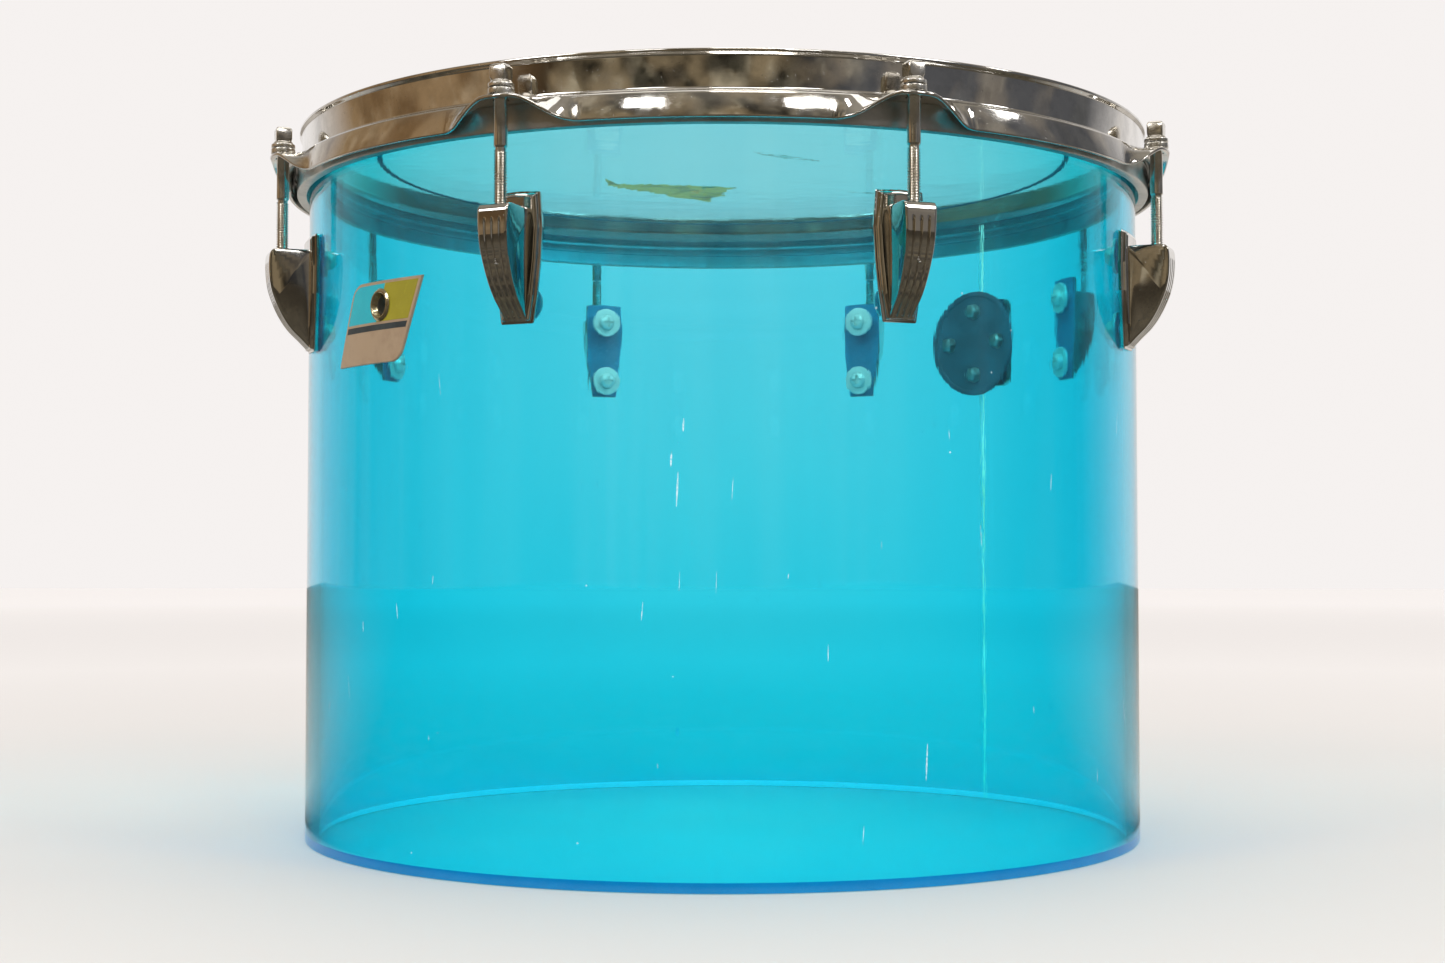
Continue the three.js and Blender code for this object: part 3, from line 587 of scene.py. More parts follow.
LOOKS = {
    "acrylic": acrylic_material(),
    "sanded_edge": sanded_edge_material(),
    "film": film_material(),
    "hoop": metal_material("hoop_chrome", (0.82, 0.8, 0.77), 0.05, 0.1, pits=0.35),
    "lug": metal_material("lug_chrome", (0.74, 0.72, 0.69), 0.035, 0.07, pits=0.15),
    # The casing's inside is lighter and bluer than zinc: painted blue light reaching it through
    # the shell.
    "lug_back": paint_material("zinc_painted_blue_light", (0.22, 0.37, 0.45), (0.16, 0.3, 0.37), 0.6),
    "rod": metal_material("plated_rod", (0.86, 0.84, 0.8), 0.16, 0.16, pits=0.5,
                          dull=(0.56, 0.52, 0.45)),
    "washer": metal_material("plated_washer", (0.8, 0.78, 0.73), 0.2, 0.18, pits=0.5),
    "aluminium": metal_material("satin_aluminium", (0.66, 0.65, 0.62), 0.32, 0.15,
                                grain=(1, 1, 0.05)),
    "zinc": metal_material("zinc_screw", (0.84, 0.83, 0.78), 0.38, 0.2, dull=(0.66, 0.65, 0.62),
                           metallic=0.55),
    "badge": metal_material("badge_plate", (0.5, 0.38, 0.26), 0.36, 0.15, grain=(1, 1, 0.06),
                            dull=(0.4, 0.29, 0.2), metallic=0.45),
    "enamel_blue": paint_material("enamel_blue", (0.004, 0.37, 0.45), (0.006, 0.41, 0.48), 0.3,
                                  500, 0.03, 0.3),
    "enamel_olive": paint_material("enamel_olive", (0.26, 0.23, 0.012), (0.3, 0.265, 0.015), 0.3,
                                   500, 0.03, 0.3),
    "nickel": metal_material("nickel_grommet", (0.76, 0.69, 0.5), 0.14, 0.15,
                             dull=(0.5, 0.43, 0.26)),
    # Painted shade: the near-black colour of the grommet's bore.
    "tarnish": paint_material("shaded_bore", (0.05, 0.045, 0.03), (0.09, 0.075, 0.05), 0.5),
    "dark_plate": paint_material("dark_plate", (0.045, 0.1, 0.14), (0.025, 0.06, 0.085), 0.5,
                                 420, 0.5),
    "bolt": metal_material("bolt_steel", (0.4, 0.44, 0.44), 0.35, 0.2),
    "cast": metal_material("cast_chrome", (0.78, 0.77, 0.75), 0.09, 0.12, pits=0.3),
    "brass": metal_material("brass_nut", (0.6, 0.42, 0.16), 0.25, 0.2, dull=(0.35, 0.22, 0.07)),
    "spring": metal_material("spring_steel", (0.5, 0.49, 0.47), 0.25, 0.15),
    "ink": paint_material("damping_ink", (0.003, 0.085, 0.17), (0.008, 0.12, 0.22), 0.4, 500, 0.1),
    "bar": paint_material("dark_bar", (0.02, 0.03, 0.035), (0.035, 0.05, 0.055), 0.35, 500, 0.05),
    "tape": tape_material("old_tape", 0.0),
    "tape_underside": tape_material("old_tape_underside", 0.7),
    "residue": thin_mark_material(
        "residue", [(0.62, 0.6, 0.36), (0.75, 0.76, 0.6)], 0.7, smeared),
    "scuff": thin_mark_material(
        "scuffed_acrylic", [(0.62, 0.86, 0.94), (0.85, 0.96, 1.0)], 0.6, scratched),
    "seam": seam_material(),
}


# ---------- shell ----------


def pin(radius, start, end, segments, x, z):
    """A plain round solid whose axis points out of the drum."""
    return outward(cylinder(radius, start, end, segments), x, z)


BOLT_CIRCLE = 16.6
BOLT_PLACES = [(0, BOLT_CIRCLE), (BOLT_CIRCLE, 0), (0, -BOLT_CIRCLE), (-BOLT_CIRCLE, 0)]


def make_shell():
    """The extra loops beside the rounded corners keep the long walls' normals straight."""
    cut = BEARING_PEAK - SHELL_INNER
    below, above = LUG_BOTTOM - 4, LUG_TOP + 4
    part = turned_ring([
        (SHELL_INNER, RIM_BEVEL + 1.0, 0), (SHELL_INNER, RIM_BEVEL, 0.3),
        (SHELL_INNER + RIM_BEVEL, 0, 0.3), (SHELL_RADIUS, 0, 0.4), (SHELL_RADIUS, 1.2, 0),
        (SHELL_RADIUS, below, 0), (SHELL_RADIUS, above, 0), (SHELL_RADIUS, SHELL_TOP - 2.0, 0),
        (SHELL_RADIUS, SHELL_TOP - 0.8, 0.4), (BEARING_PEAK, SHELL_TOP, 0.5),
        (SHELL_INNER, SHELL_TOP - cut, 0.3), (SHELL_INNER, SHELL_TOP - cut - 1.0, 0),
        (SHELL_INNER, above, 0), (SHELL_INNER, below, 0),
    ], ROUND)
    mesh = make_mesh("shell", [part], "acrylic sanded_edge")
    for face in mesh.polygons:
        reach = hypot(face.center.x, face.center.y) / MM
        in_bevel = face.center.z / MM < RIM_BEVEL and reach < SHELL_RADIUS - 0.4
        face.material_index = int(in_bevel)
    places = [(2.6, 24, 0, height, angle)
              for angle in STATION_ANGLES.values() for height in SCREW_HEIGHTS.values()]
    places += [(2.4, 24, x, MOUNT_HEIGHT + z, MOUNT_ANGLE) for x, z in BOLT_PLACES]
    places.append((5.2, 32, 0, GROMMET_HEIGHT, GROMMET_ANGLE))
    holes = [moved(pin(radius, SHELL_INNER - 5, SHELL_RADIUS + 5, sides, x, z), spun(angle))
             for radius, sides, x, z, angle in places]
    return carve(mesh, [(holes, "acrylic")])


show("shell_tube", make_shell(), "shell_assembly", ["shell"])


def seam_bead(inner, outer, half, shift=0.0):
    """A thin bead of glue up the whole seam, a little uneven in width."""
    rng = random.Random(7)
    heights = [mix(0.6, SHELL_TOP - 6, row / 60) for row in range(61)]
    wander = {height: rng.uniform(-0.12, 0.12) for height in heights}
    return panel(
        lambda z: shift - half + wander[z],
        lambda z: shift + half + wander[z] * 0.6,
        heights, inner, outer, 0.1, 4,
    )


seam_parts = [
    seam_bead(SHELL_RADIUS + 0.01, SHELL_RADIUS + 0.12, 0.3, 5.0),
    seam_bead(SHELL_INNER - 0.12, SHELL_INNER - 0.01, 0.6),
]
seam_mesh = make_mesh("shell_seam", seam_parts, "seam")
show("shell_seam", seam_mesh, "shell_assembly", angle=SEAM_ANGLE)


def scuff(angle, height, length, width, lean):
    """One thin sliver of scuffed surface on the outside of the shell."""
    count = 6
    heights = [height + length * (row / (count - 1) - 0.5) for row in range(count)]

    def half(z):
        share = (z - heights[0]) / length
        return width * (0.25 + sin(pi * min(max(share, 0), 1)) * 0.75) / 2

    def middle(z):
        return lean * (z - height)

    part = panel(
        lambda z: middle(z) - half(z),
        lambda z: middle(z) + half(z),
        heights, SHELL_RADIUS + 0.005, SHELL_RADIUS + 0.03, 0.01, 3,
    )
    return moved(part, spun(angle))


def make_scuffs():
    rng = random.Random(21)
    parts = []
    for _ in range(70):
        parts.append(scuff(
            rng.uniform(-180, 180), rng.uniform(12, 200), rng.uniform(1.5, 9),
            rng.uniform(0.15, 0.4), rng.uniform(-0.15, 0.15),
        ))
    for angle, height, length in ((-3.3, 150, 13), (-4.0, 161, 6), (-2.6, 174, 5), (26, 47, 14)):
        parts.append(scuff(angle, height, length, 0.75, 0.05))
    for _ in range(40):
        size = rng.uniform(0.4, 1.1)
        parts.append(scuff(rng.uniform(-180, 180), rng.uniform(8, 280), size, size, 0))
    return make_mesh("shell_scuffs", parts, "scuff")


show("shell_scuffs", make_scuffs(), "shell_assembly")


# ---------- drumhead ----------


def make_film():
    """Flat over the shell, with its edge turned down and out into the flesh hoop's channel."""
    collar = SHELL_RADIUS + 0.3
    outer = collar + FILM_THICKNESS
    under = FILM_TOP - FILM_THICKNESS
    edge_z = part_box("drumhead_film")[0].z / MM
    edge_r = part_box("drumhead_film")[1].x / MM
    flat = [0, 60, 120, 160, collar - 3.5]
    part = turned_solid([
        *((reach, under, 0) for reach in flat), (collar, under, 1.3), (collar, edge_z, 0),
        (edge_r, edge_z, 0), (edge_r, edge_z + FILM_THICKNESS, 0),
        (outer, edge_z + FILM_THICKNESS, 0), (outer, FILM_TOP, 1.7),
        *((reach, FILM_TOP, 0) for reach in reversed(flat)),
    ], ROUND, steps=6)
    return make_mesh("drumhead", [part], "film")


show("drumhead", make_film(), "shell_assembly", ["drumhead_film"])


def ribbon(path, rng, base, thickness, ragged):
    """A torn strip that lies flat: path holds (x, y, half width) along it."""
    points = []
    for (xa, ya, wa), (xb, yb, wb) in zip(path, path[1:]):
        points += [(mix(xa, xb, s / 6), mix(ya, yb, s / 6), mix(wa, wb, s / 6)) for s in range(6)]
    points.append(path[-1])
    lower, upper = [], []
    for index, (x, y, half) in enumerate(points):
        x2, y2, _ = points[min(index + 1, len(points) - 1)]
        x1, y1, _ = points[max(index - 1, 0)]
        ahead = Vector((x2 - x1, y2 - y1)).normalized()
        side = Vector((-ahead.y, ahead.x))
        left, right = half + rng.uniform(-ragged, ragged), half + rng.uniform(-ragged, ragged)
        for share in (-1, -0.4, 0.3, 1):
            reach = share * (right if share > 0 else left)
            lift = base + rng.uniform(0, 0.25) + thickness
            x_here, y_here = x + side.x * reach, y + side.y * reach
            lower.append((x_here, y_here, base + (0 if abs(share) < 1 else 0.02)))
            upper.append((x_here, y_here, lift if abs(share) < 1 else base + thickness * 0.7))
    rows, size = len(points), len(points) * 4
    faces = grid_faces(rows, 4) + [tuple(c + size for c in f) for f in grid_faces(rows, 4)]
    border = [(row, 0) for row in range(rows)] + [(rows - 1, c) for c in (1, 2, 3)]
    border += [(row, 3) for row in range(rows - 2, -1, -1)] + [(0, 2), (0, 1)]
    for (row_a, col_a), (row_b, col_b) in zip(border, border[1:] + border[:1]):
        a, b = row_a * 4 + col_a, row_b * 4 + col_b
        faces.append((a, b, b + size, a + size))
    return lower + upper, faces


def make_tape():
    rng = random.Random(5)
    base = FILM_TOP + 0.03
    strips = [
        ribbon([(-57, 40, 0.8), (-50, 43, 5), (-40, 47, 9), (-30, 51, 11), (-21, 57, 15),
                (-14, 62, 18), (-9, 57, 10), (-3, 52, 5), (5, 50, 0.6)], rng, base, 0.3, 2.2),
        ribbon([(-16, 70, 7), (-12, 80, 4), (-10, 88, 0.6)], rng, base, 0.26, 1.4),
        ribbon([(-54, 41, 2.4), (-56, 31, 1.4), (-57, 25, 0.4)], rng, base, 0.22, 0.5),
    ]
    mesh = make_mesh("head_tape", strips, "tape tape_underside", 60)
    # Faces turned down take the underside look with its painted glow.
    for face in mesh.polygons:
        face.material_index = int(face.normal.z < -0.5)
    return mesh


def make_residue():
    rng = random.Random(9)
    base = FILM_TOP + 0.02
    strips = [
        ribbon([(15, -38, 0.8), (26, -29, 3), (36, -22, 2.6), (45, -17, 0.5)],
               rng, base, 0.1, 0.8),
        ribbon([(60, 62, 0.5), (72, 66, 2.2), (86, 66, 0.4)], rng, base, 0.08, 0.6),
    ]
    return make_mesh("head_residue", strips, "residue", 60)


def make_ring_line():
    """The thin dark damping line near the edge of the head."""
    inner, outer = RING_LINE_RADIUS - RING_LINE_HALF, RING_LINE_RADIUS + RING_LINE_HALF
    low, high = FILM_TOP + 0.02, FILM_TOP + 0.4
    corners = [(inner, low, 0.1), (outer, low, 0.1), (outer, high, 0.2), (inner, high, 0.2)]
    return make_mesh("damping_line", [turned_ring(corners, ROUND)], "ink")


show("damping_line", make_ring_line(), "shell_assembly")
show("head_tape", make_tape(), "shell_assembly")
show("head_residue", make_residue(), "shell_assembly")


# ---------- flesh hoop and counter hoop ----------


def make_flesh_hoop():
    low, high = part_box("flesh_hoop")
    inner, outer = SHELL_RADIUS + 1.3, high.x / MM
    bottom, top = low.z / MM, high.z / MM
    wall = 1.2
    back = outer - wall
    part = turned_ring([
        (inner, bottom, 0.3), (outer, bottom, 0.7), (outer, top, 1.2), (inner, top, 0.3),
        (inner, top - wall, 0.3), (back, top - wall, 0.4), (back, bottom + wall, 0.4),
        (inner, bottom + wall, 0.3),
    ], ROUND)
    return make_mesh("flesh_ring", [part], "aluminium")


def hoop_section(flare, skirt):
    """The counter hoop's outline where its skirt makes the angle flare with straight down."""
    bend_r, bend_z = SHELL_RADIUS + 6.8, HOOP_TOP - 18.2
    side = Vector((cos(flare), sin(flare)))
    down = Vector((sin(flare), -cos(flare)))
    inner_end = Vector((bend_r, bend_z)) + down * skirt
    outer_end = inner_end + side * HOOP_SHEET
    shoulder_z = bend_z + 1.2
    band = HOOP_INNER + HOOP_SHEET
    lip = SHELL_RADIUS + 4.7
    corners = [
        (HOOP_INNER, shoulder_z, 0.5), (HOOP_INNER, HOOP_TOP - 3, 0), (HOOP_INNER, HOOP_TOP, 0.9),
        (lip, HOOP_TOP, 0.75), (lip, HOOP_TOP - 1.3, 0.5), (band, HOOP_TOP - 2.4, 0.9),
        (band, shoulder_z + HOOP_SHEET, 1.3),
    ]
    for step in range(9):
        turn = mix(pi / 2, flare, step / 8)
        corners.append((bend_r + HOOP_SHEET * cos(turn), bend_z + HOOP_SHEET * sin(turn), 0))
    corners += [
        (outer_end.x, outer_end.y, 0.7), (inner_end.x, inner_end.y, 0.7), (bend_r, bend_z, 0.3),
        (bend_r - 2.3, shoulder_z, 0.6),
    ]
    return rounded(corners)


def make_counter_hoop():
    """The skirt flares out into an ear at each station."""
    segments = 720
    flat_half, ear_half = 1.6, 8.75  # degrees either side of a rod
    skirt, ear_extra = 9.3, 3.4
    columns = []
    for step in range(segments):
        angle = 360 * step / segments
        away = min(abs((angle - station + 180) % 360 - 180) for station in STATION_ANGLES.values())
        share = smooth((ear_half - away) / (ear_half - flat_half))
        section = hoop_section(
            mix(SKIRT_LEAN, pi / 2, share), skirt + ear_extra * smooth(1 - away / 5),
        )
        columns.append([around(radius, radians(angle), z) for radius, z in section])
    vertices = [vertex for column in columns for vertex in column]
    faces = grid_faces(segments, len(columns[0]), True, True)
    mesh = make_mesh("counter_ring", [(vertices, faces)], "hoop", 50)
    hole = cylinder(3.15, 290, 312, 32)
    holes = [moved(hole, spun(angle) @ TO_ROD) for angle in STATION_ANGLES.values()]
    return carve(mesh, [(holes, "hoop")], sharp=50)


show("flesh_ring", make_flesh_hoop(), "hoop_assembly", ["flesh_hoop"])
show("counter_ring", make_counter_hoop(), "hoop_assembly", ["counter_hoop"])


# ---------- tension rods, their washers and what they screw into ----------


def rounded_square(half, corner, z, steps=6):
    """Ring of a square with round corners, centred on the axis."""
    ring = []
    for quarter in range(4):
        for step in range(steps):
            turn = pi / 2 * (quarter + step / (steps - 1))
            centre = pi / 2 * (quarter + 0.5)
            reach = (half - corner) * sqrt(2)
            ring.append((
                reach * cos(centre) + corner * cos(turn),
                reach * sin(centre) + corner * sin(turn), z,
            ))
    return ring


def screw_thread(radius, depth, pitch, bottom, top, segments=28):
    """A helical thread as one closed solid, with a shallow cone at each end."""
    ridge = [(0.0, radius), (0.12, radius), (0.42, radius - depth), (0.62, radius - depth)]
    turns = int((top - bottom) / pitch)
    steps = turns * segments
    vertices = []
    for step in range(steps + 1):
        turn = 2 * pi * step / segments
        for rise, reach in ridge:
            vertices.append(around(reach, turn, bottom + pitch * (step / segments + rise)))
    faces = []
    for step in range(steps):
        for place in range(3):
            a = step * 4 + place
            faces.append((a, a + 4, a + 5, a + 1))
        ahead = step + segments
        if ahead < steps:
            faces.append((step * 4 + 3, step * 4 + 7, ahead * 4 + 4, ahead * 4))
    last = steps * 4
    first_rim = [step * 4 for step in range(segments + 1)] + [3, 2, 1]
    last_rim = [last, last + 1, last + 2, last + 3]
    last_rim += [(steps - back) * 4 + 3 for back in range(1, segments + 1)]
    for rim, z in ((first_rim, bottom), (last_rim, vertices[last][2])):
        tip = len(vertices)
        vertices.append((0.0, 0.0, z))
        faces += [(a, b, tip) for a, b in zip(rim, rim[1:] + rim[:1])]
    return vertices, faces


def make_rod():
    low, top = node_heights("tension_rod_1")
    collar = 301.6  # its underside
    shank_end = 278.8  # the smooth part's foot, below which the thread runs
    shank = turned_solid([
        (0, shank_end, 0), (2.15, shank_end, 0), (2.65, shank_end + 0.7, 0.5),
        (2.65, collar - 0.3, 0), (2.9, collar, 0), (5.1, collar, 0.3), (5.1, collar + 1.5, 0.5),
        (4.4, collar + 1.7, 0.3), (3.9, collar + 2.8, 0.8), (0, collar + 2.8, 0),
    ], 40)
    head = stacked([rounded_square(*ring) for ring in (
        (3.3, 2.6, collar + 2.0), (3.3, 1.6, collar + 3.0), (3.38, 0.7, collar + 3.8),
        (3.38, 0.6, top - 1.5), (3.2, 0.8, top - 0.8), (2.75, 1.2, top - 0.25),
        (1.8, 1.4, top - 0.02), (0.5, 0.45, top),
    )])
    thread = screw_thread(2.6, 0.55, 1.058, low + 0.6, shank_end)
    core = turned_solid([
        (0, low, 0), (1.5, low, 0.3), (2.08, low + 0.8, 0.3), (2.08, shank_end + 0.3, 0),
        (0, shank_end + 0.3, 0),
    ], 28)
    parts = [moved(part, TO_ROD) for part in (shank, head, thread, core)]
    return make_mesh("rod", parts, "rod", 40)


def make_washer():
    low, high = node_heights("rod_washer_1")
    part = turned_ring([
        (2.95, low, 0.2), (5.15, low, 0.5), (5.15, high, 0.5), (2.95, high, 0.2),
    ], 48)
    return make_mesh("rod_washer", [moved(part, TO_ROD)], "washer")


def make_nut():
    low, high = node_heights("swivel_nut_1")
    part = turned_ring([
        (2.85, low, 0.2), (3.85, low, 0.4), (3.85, high - 2, 0), (4.35, high - 2, 0.2),
        (4.35, high, 0.5), (2.85, high, 0.3),
    ], 40)
    return make_mesh("nut", [moved(part, TO_ROD)], "brass")


def coil(radius, wire, bottom, top, turns):
    """A wound spring as one closed tube."""
    sides, steps = 8, turns * 20
    rings = []
    for step in range(steps + 1):
        turn = 2 * pi * step / 20
        z = mix(bottom, top, step / steps)
        ring = []
        for side in range(sides):
            a = 2 * pi * side / sides
            ring.append(around(radius + wire * cos(a), turn, z + wire * sin(a)))
        rings.append(ring)
    return stacked(rings)


def make_spring():
    """Under the swivel nut, round the rod."""
    low = node_heights("swivel_nut_1")[0]
    part = coil(3.5, 0.3, low - 8.5, low - 0.4, 9)
    return make_mesh("spring", [moved(part, TO_ROD)], "spring")


# ---------- lug casing ----------

LUG_GROOVES = (-3.35, 0.0, 3.35)
LUG_CREST = 257.3  # height of the body's flat top


def lug_half(z):
    """Half the width of the lug's body at a height."""
    return mix(4.9, 7.05, (z - LUG_BOTTOM) / (LUG_TOP - LUG_BOTTOM))


def lug_path():
    """The body's side profile as (depth, height) pairs, from foot to front to top to back."""
    front = [
        (2.4, 214.4), (6.3, 218.4), (10.8, 222.8), (14.5, 228.1), (17.5, 234.2), (19.4, 239.6),
        (20.3, 244.8), (20.6, 249.3), (20.5, 253.0), (20.1, 255.3), (19.0, 256.8),
        (17.2, LUG_CREST),
    ]
    path = []
    for index in range(len(front) - 1):
        p0 = Vector(front[max(index - 1, 0)])
        p1, p2 = Vector(front[index]), Vector(front[index + 1])
        p3 = Vector(front[min(index + 2, len(front) - 1)])
        for step in range(5):
            s = step / 5
            curve = 0.5 * (
                2 * p1 + (p2 - p0) * s + (2 * p0 - 5 * p1 + 4 * p2 - p3) * s * s
                + (3 * p1 - p0 - 3 * p2 + p3) * s ** 3
            )
            path.append(tuple(curve))
    path.append(front[-1])
    return path + [(depth, LUG_CREST) for depth in (14, 11, 8, 5, 2.0)]


def groove_depth(depth, height):
    """How deep the three grooves are here: they fade out over the body's shoulder."""
    front = smooth((251.6 - height) / 1.4)
    top = smooth((16.6 - depth) / 1.6) if height > 257 else 0
    return 0.6 * max(front, top)


def lug_body():
    """The body skinned over its side profile, with rounded edges and grooves, closed behind."""
    path = lug_path()
    corner = 0.9
    rows = []
    across = [mix(-1, 1, step / 60) for step in range(61)]
    for index, (depth, height) in enumerate(path):
        before = Vector(path[max(index - 1, 0)])
        after = Vector(path[min(index + 1, len(path) - 1)])
        ahead = (after - before).normalized()
        normal = Vector((ahead.y, -ahead.x))
        half = lug_half(height)
        deep = groove_depth(depth, height)
        row = []
        for share in across:
            x = half * share
            drop = corner_cut(half - abs(x), corner)
            for groove in LUG_GROOVES:
                gap = abs(x - groove * half / 6.7)
                drop = max(drop, deep * smooth(1 - gap / 0.6))
            point = Vector((depth, height)) - normal * drop
            row.append((x, -(SHELL_RADIUS + point.x), point.y))
        rows.append(row)
    width = len(across)
    vertices = [vertex for row in rows for vertex in row]
    faces = grid_faces(len(rows), width)
    back = len(rows) - 1
    faces.append(tuple(row * width for row in range(len(rows))))
    faces.append(tuple(row * width + width - 1 for row in range(len(rows))))
    faces.append(tuple(range(width)) + tuple(back * width + c for c in range(width - 1, -1, -1)))
    return vertices, faces


def plate_outline(inset):
    """The lug's base plate seen from the front, its edge moved in by inset."""
    right = [
        (7.0 - inset, LUG_BOTTOM + inset, max(0.8 - inset, 0.15)), (8.6 - inset, 224, 6),
        (10.1 - inset, 238, 8), (10.8 - inset, 250, 6),
        (9.8 - inset, LUG_TOP - 0.5 - inset, max(0.7 - inset, 0.12)), (0, LUG_TOP - inset, 12),
    ]
    left = [(-x, z, radius) for x, z, radius in reversed(right[:-1])]
    return rounded([*right, *left], steps=6)


def lug_plate():
    """The base plate: curved back, and a front edge that steps up in two bevels."""
    rings = []
    for inset, depth in (
        (0.25, None), (0, 0.7), (0, 1.2), (0.25, 1.5), (0.75, 1.55), (0.95, 1.8), (1.05, 2.5),
        (1.35, 2.9), (1.9, 3.05), (2.5, 3.5), (3.1, 3.5),
    ):
        ring = []
        for x, z in plate_outline(inset):
            if depth is None:
                y = -sqrt((SHELL_RADIUS + 0.08) ** 2 - x * x)
            else:
                y = -(SHELL_RADIUS + depth)
            ring.append((x, y, z))
        rings.append(ring)
    return stacked(rings)


def extruded(outline, near, far, axis):
    """A flat outline carried along X, or out of the drum, with square ends."""
    if axis == "x":
        rings = [[(at, -y, z) for y, z in outline] for at in (near, far)]
    else:
        rings = [[(x, -at, z) for x, z in outline] for at in (near, far)]
    return stacked(rings)


def close_gaps(mesh):
    """Joins corners that all but touch and fills the hairline gaps a boolean can leave."""
    with reworked(mesh) as work:
        bmesh.ops.remove_doubles(work, verts=work.verts, dist=2e-6)
        bmesh.ops.holes_fill(work, edges=[e for e in work.edges if e.is_boundary], sides=0)
        bmesh.ops.triangulate(work, faces=[f for f in work.faces if len(f.verts) > 4])


def make_lug():
    """The body on its plate, hollowed from behind, bored for the rod and notched on top."""
    mesh = make_mesh("lug", [lug_body()], "lug lug_back", 28)
    mesh = carve(mesh, [([lug_plate()], "lug")], "UNION", 28)
    inner = [(SHELL_RADIUS + depth, height) for depth, height in (
        (1.5, 218.5), (4.6, 218.5), (12.4, 227.5), (17.2, 237.5), (18.6, 247), (18.4, 254.6),
        (1.5, 254.6),
    )]
    pocket = extruded(inner, -4.7, 4.7, "x")
    rod = moved(cylinder(3.3, 236, 262, 40), TO_ROD)
    notches = []
    for x in LUG_GROOVES:
        outline = [(-0.62, 0.9), (-0.3, -0.5), (0.3, -0.5), (0.62, 0.9)]
        outline = [(x + a, LUG_TOP - 0.25 + b) for a, b in outline]
        notches.append(extruded(outline, SHELL_RADIUS + 0.9, SHELL_RADIUS + 6, "y"))
    cutters = [([pocket], "lug_back"), ([rod], "lug_back"), (notches, "lug")]
    mesh = carve(mesh, cutters, sharp=28)
    close_gaps(mesh)
    for face in mesh.polygons:
        if -face.center.y / MM < SHELL_RADIUS + 0.3 and face.normal.y > 0.6:
            face.material_index = 1
    return mesh


def make_posts():
    """The threaded posts inside the casing, which the lug screws go into."""
    parts = []
    for place, height in SCREW_HEIGHTS.items():
        end = SHELL_RADIUS + (8.6 if place == "upper" else 5.0)
        foot = SHELL_RADIUS + 0.4
        part = turned_ring([(2.6, foot, 0.3), (4.0, foot, 0.3), (4.2, end, 0), (2.6, end, 0)], 32)
        parts.append(outward(part, 0, height))
    return make_mesh("lug_posts", parts, "lug_back")


def make_screw(height):
    """A pan-headed screw with a cross slot, seen from inside the drum."""
    seat = SHELL_INNER - 1.7
    part = turned_solid([
        (0, seat - 3.1, 0), (2.3, seat - 3.0, 1.2), (4.0, seat - 2.0, 1.4), (4.2, seat, 0.2),
        (2.05, seat, 0), (2.05, SHELL_RADIUS + 4.6, 0.3), (0, SHELL_RADIUS + 4.8, 0),
    ], 40)
    mesh = make_mesh("lug_screw", [outward(part, 0, height)], "zinc")
    slots = []
    for x, z in ((2.5, 0.5), (0.5, 2.5)):
        outline = [(x, height + z), (-x, height + z), (-x, height - z), (x, height - z)]
        slots.append(([extruded(outline, seat - 6, seat - 1.9, "y")], "zinc"))
    return carve(mesh, slots)


def make_screw_washer(height):
    seat = SHELL_INNER - 0.5
    part = turned_ring([
        (2.3, seat - 1.2, 0.2), (7.5, seat - 1.2, 0.4), (7.75, seat, 0.3), (2.3, seat, 0.2),
    ], 64)
    return make_mesh("screw_washer", [outward(part, 0, height)], "zinc")


rod_mesh, washer_mesh, nut_mesh = make_rod(), make_washer(), make_nut()
spring_mesh, lug_mesh, post_mesh = make_spring(), make_lug(), make_posts()
screw_meshes = {place: make_screw(height) for place, height in SCREW_HEIGHTS.items()}
flat_meshes = {place: make_screw_washer(height) for place, height in SCREW_HEIGHTS.items()}

for n, angle in STATION_ANGLES.items():
    root = "shell_assembly"
    show(f"rod_{n}", rod_mesh, f"tension_rod_{n}", [f"tension_rod_{n}"], angle)
    show(f"rod_collar_washer_{n}", washer_mesh, "hoop_assembly",
         [f"rod_washer_{n}"], angle)
    show(f"nut_{n}", nut_mesh, root, [f"swivel_nut_{n}"], angle)
    show(f"anti_rattle_spring_{n}", spring_mesh, root, angle=angle)
    show(f"lug_{n}", lug_mesh, root, [f"lug_casing_{n}"], angle)
    show(f"lug_posts_{n}", post_mesh, root, angle=angle)
    for place in SCREW_HEIGHTS:
        screw = f"lug_screw_{n}_{place}"
        show(f"screw_{n}_{place}", screw_meshes[place], root, [screw], angle)
        show(f"flat_washer_{n}_{place}", flat_meshes[place], root, angle=angle)


# ---------- badge and vent grommet ----------

BADGE_WIDTH, BADGE_TALL, BADGE_SLANT = 46.2, 33.2, 13.4
BADGE_CORNER = 5.5
BADGE_LOW = BADGE_HEIGHT - BADGE_TALL / 2
BADGE_HIGH = BADGE_LOW + BADGE_TALL
BLOCKS_LOW = BADGE_HEIGHT + 0.1


def badge_lean(z):
    return (z - BADGE_HEIGHT) * BADGE_SLANT / BADGE_TALL


def badge_side(sign, inset):
    """The badge's left (-1) or right (1) side, rounded at its top left and bottom right."""
    def side(z):
        gap = (BADGE_HIGH - z if sign < 0 else z - BADGE_LOW) - inset
        reach = BADGE_WIDTH / 2 - inset - corner_cut(max(gap, 0), BADGE_CORNER - inset)
        return badge_lean(z) + sign * reach
    return side


def end_heavy(low, high, count):
    """Heights packed closer together at both ends."""
    return [mix(low, high, 0.5 - 0.5 * cos(pi * s / (count - 1))) for s in range(count)]


def badge_split(z):
    """The slanted line between the two colours, which runs through the grommet."""
    shift = radians(GROMMET_ANGLE - BADGE_ANGLE) * SHELL_RADIUS
    return shift + (z - GROMMET_HEIGHT) * BADGE_SLANT / BADGE_TALL


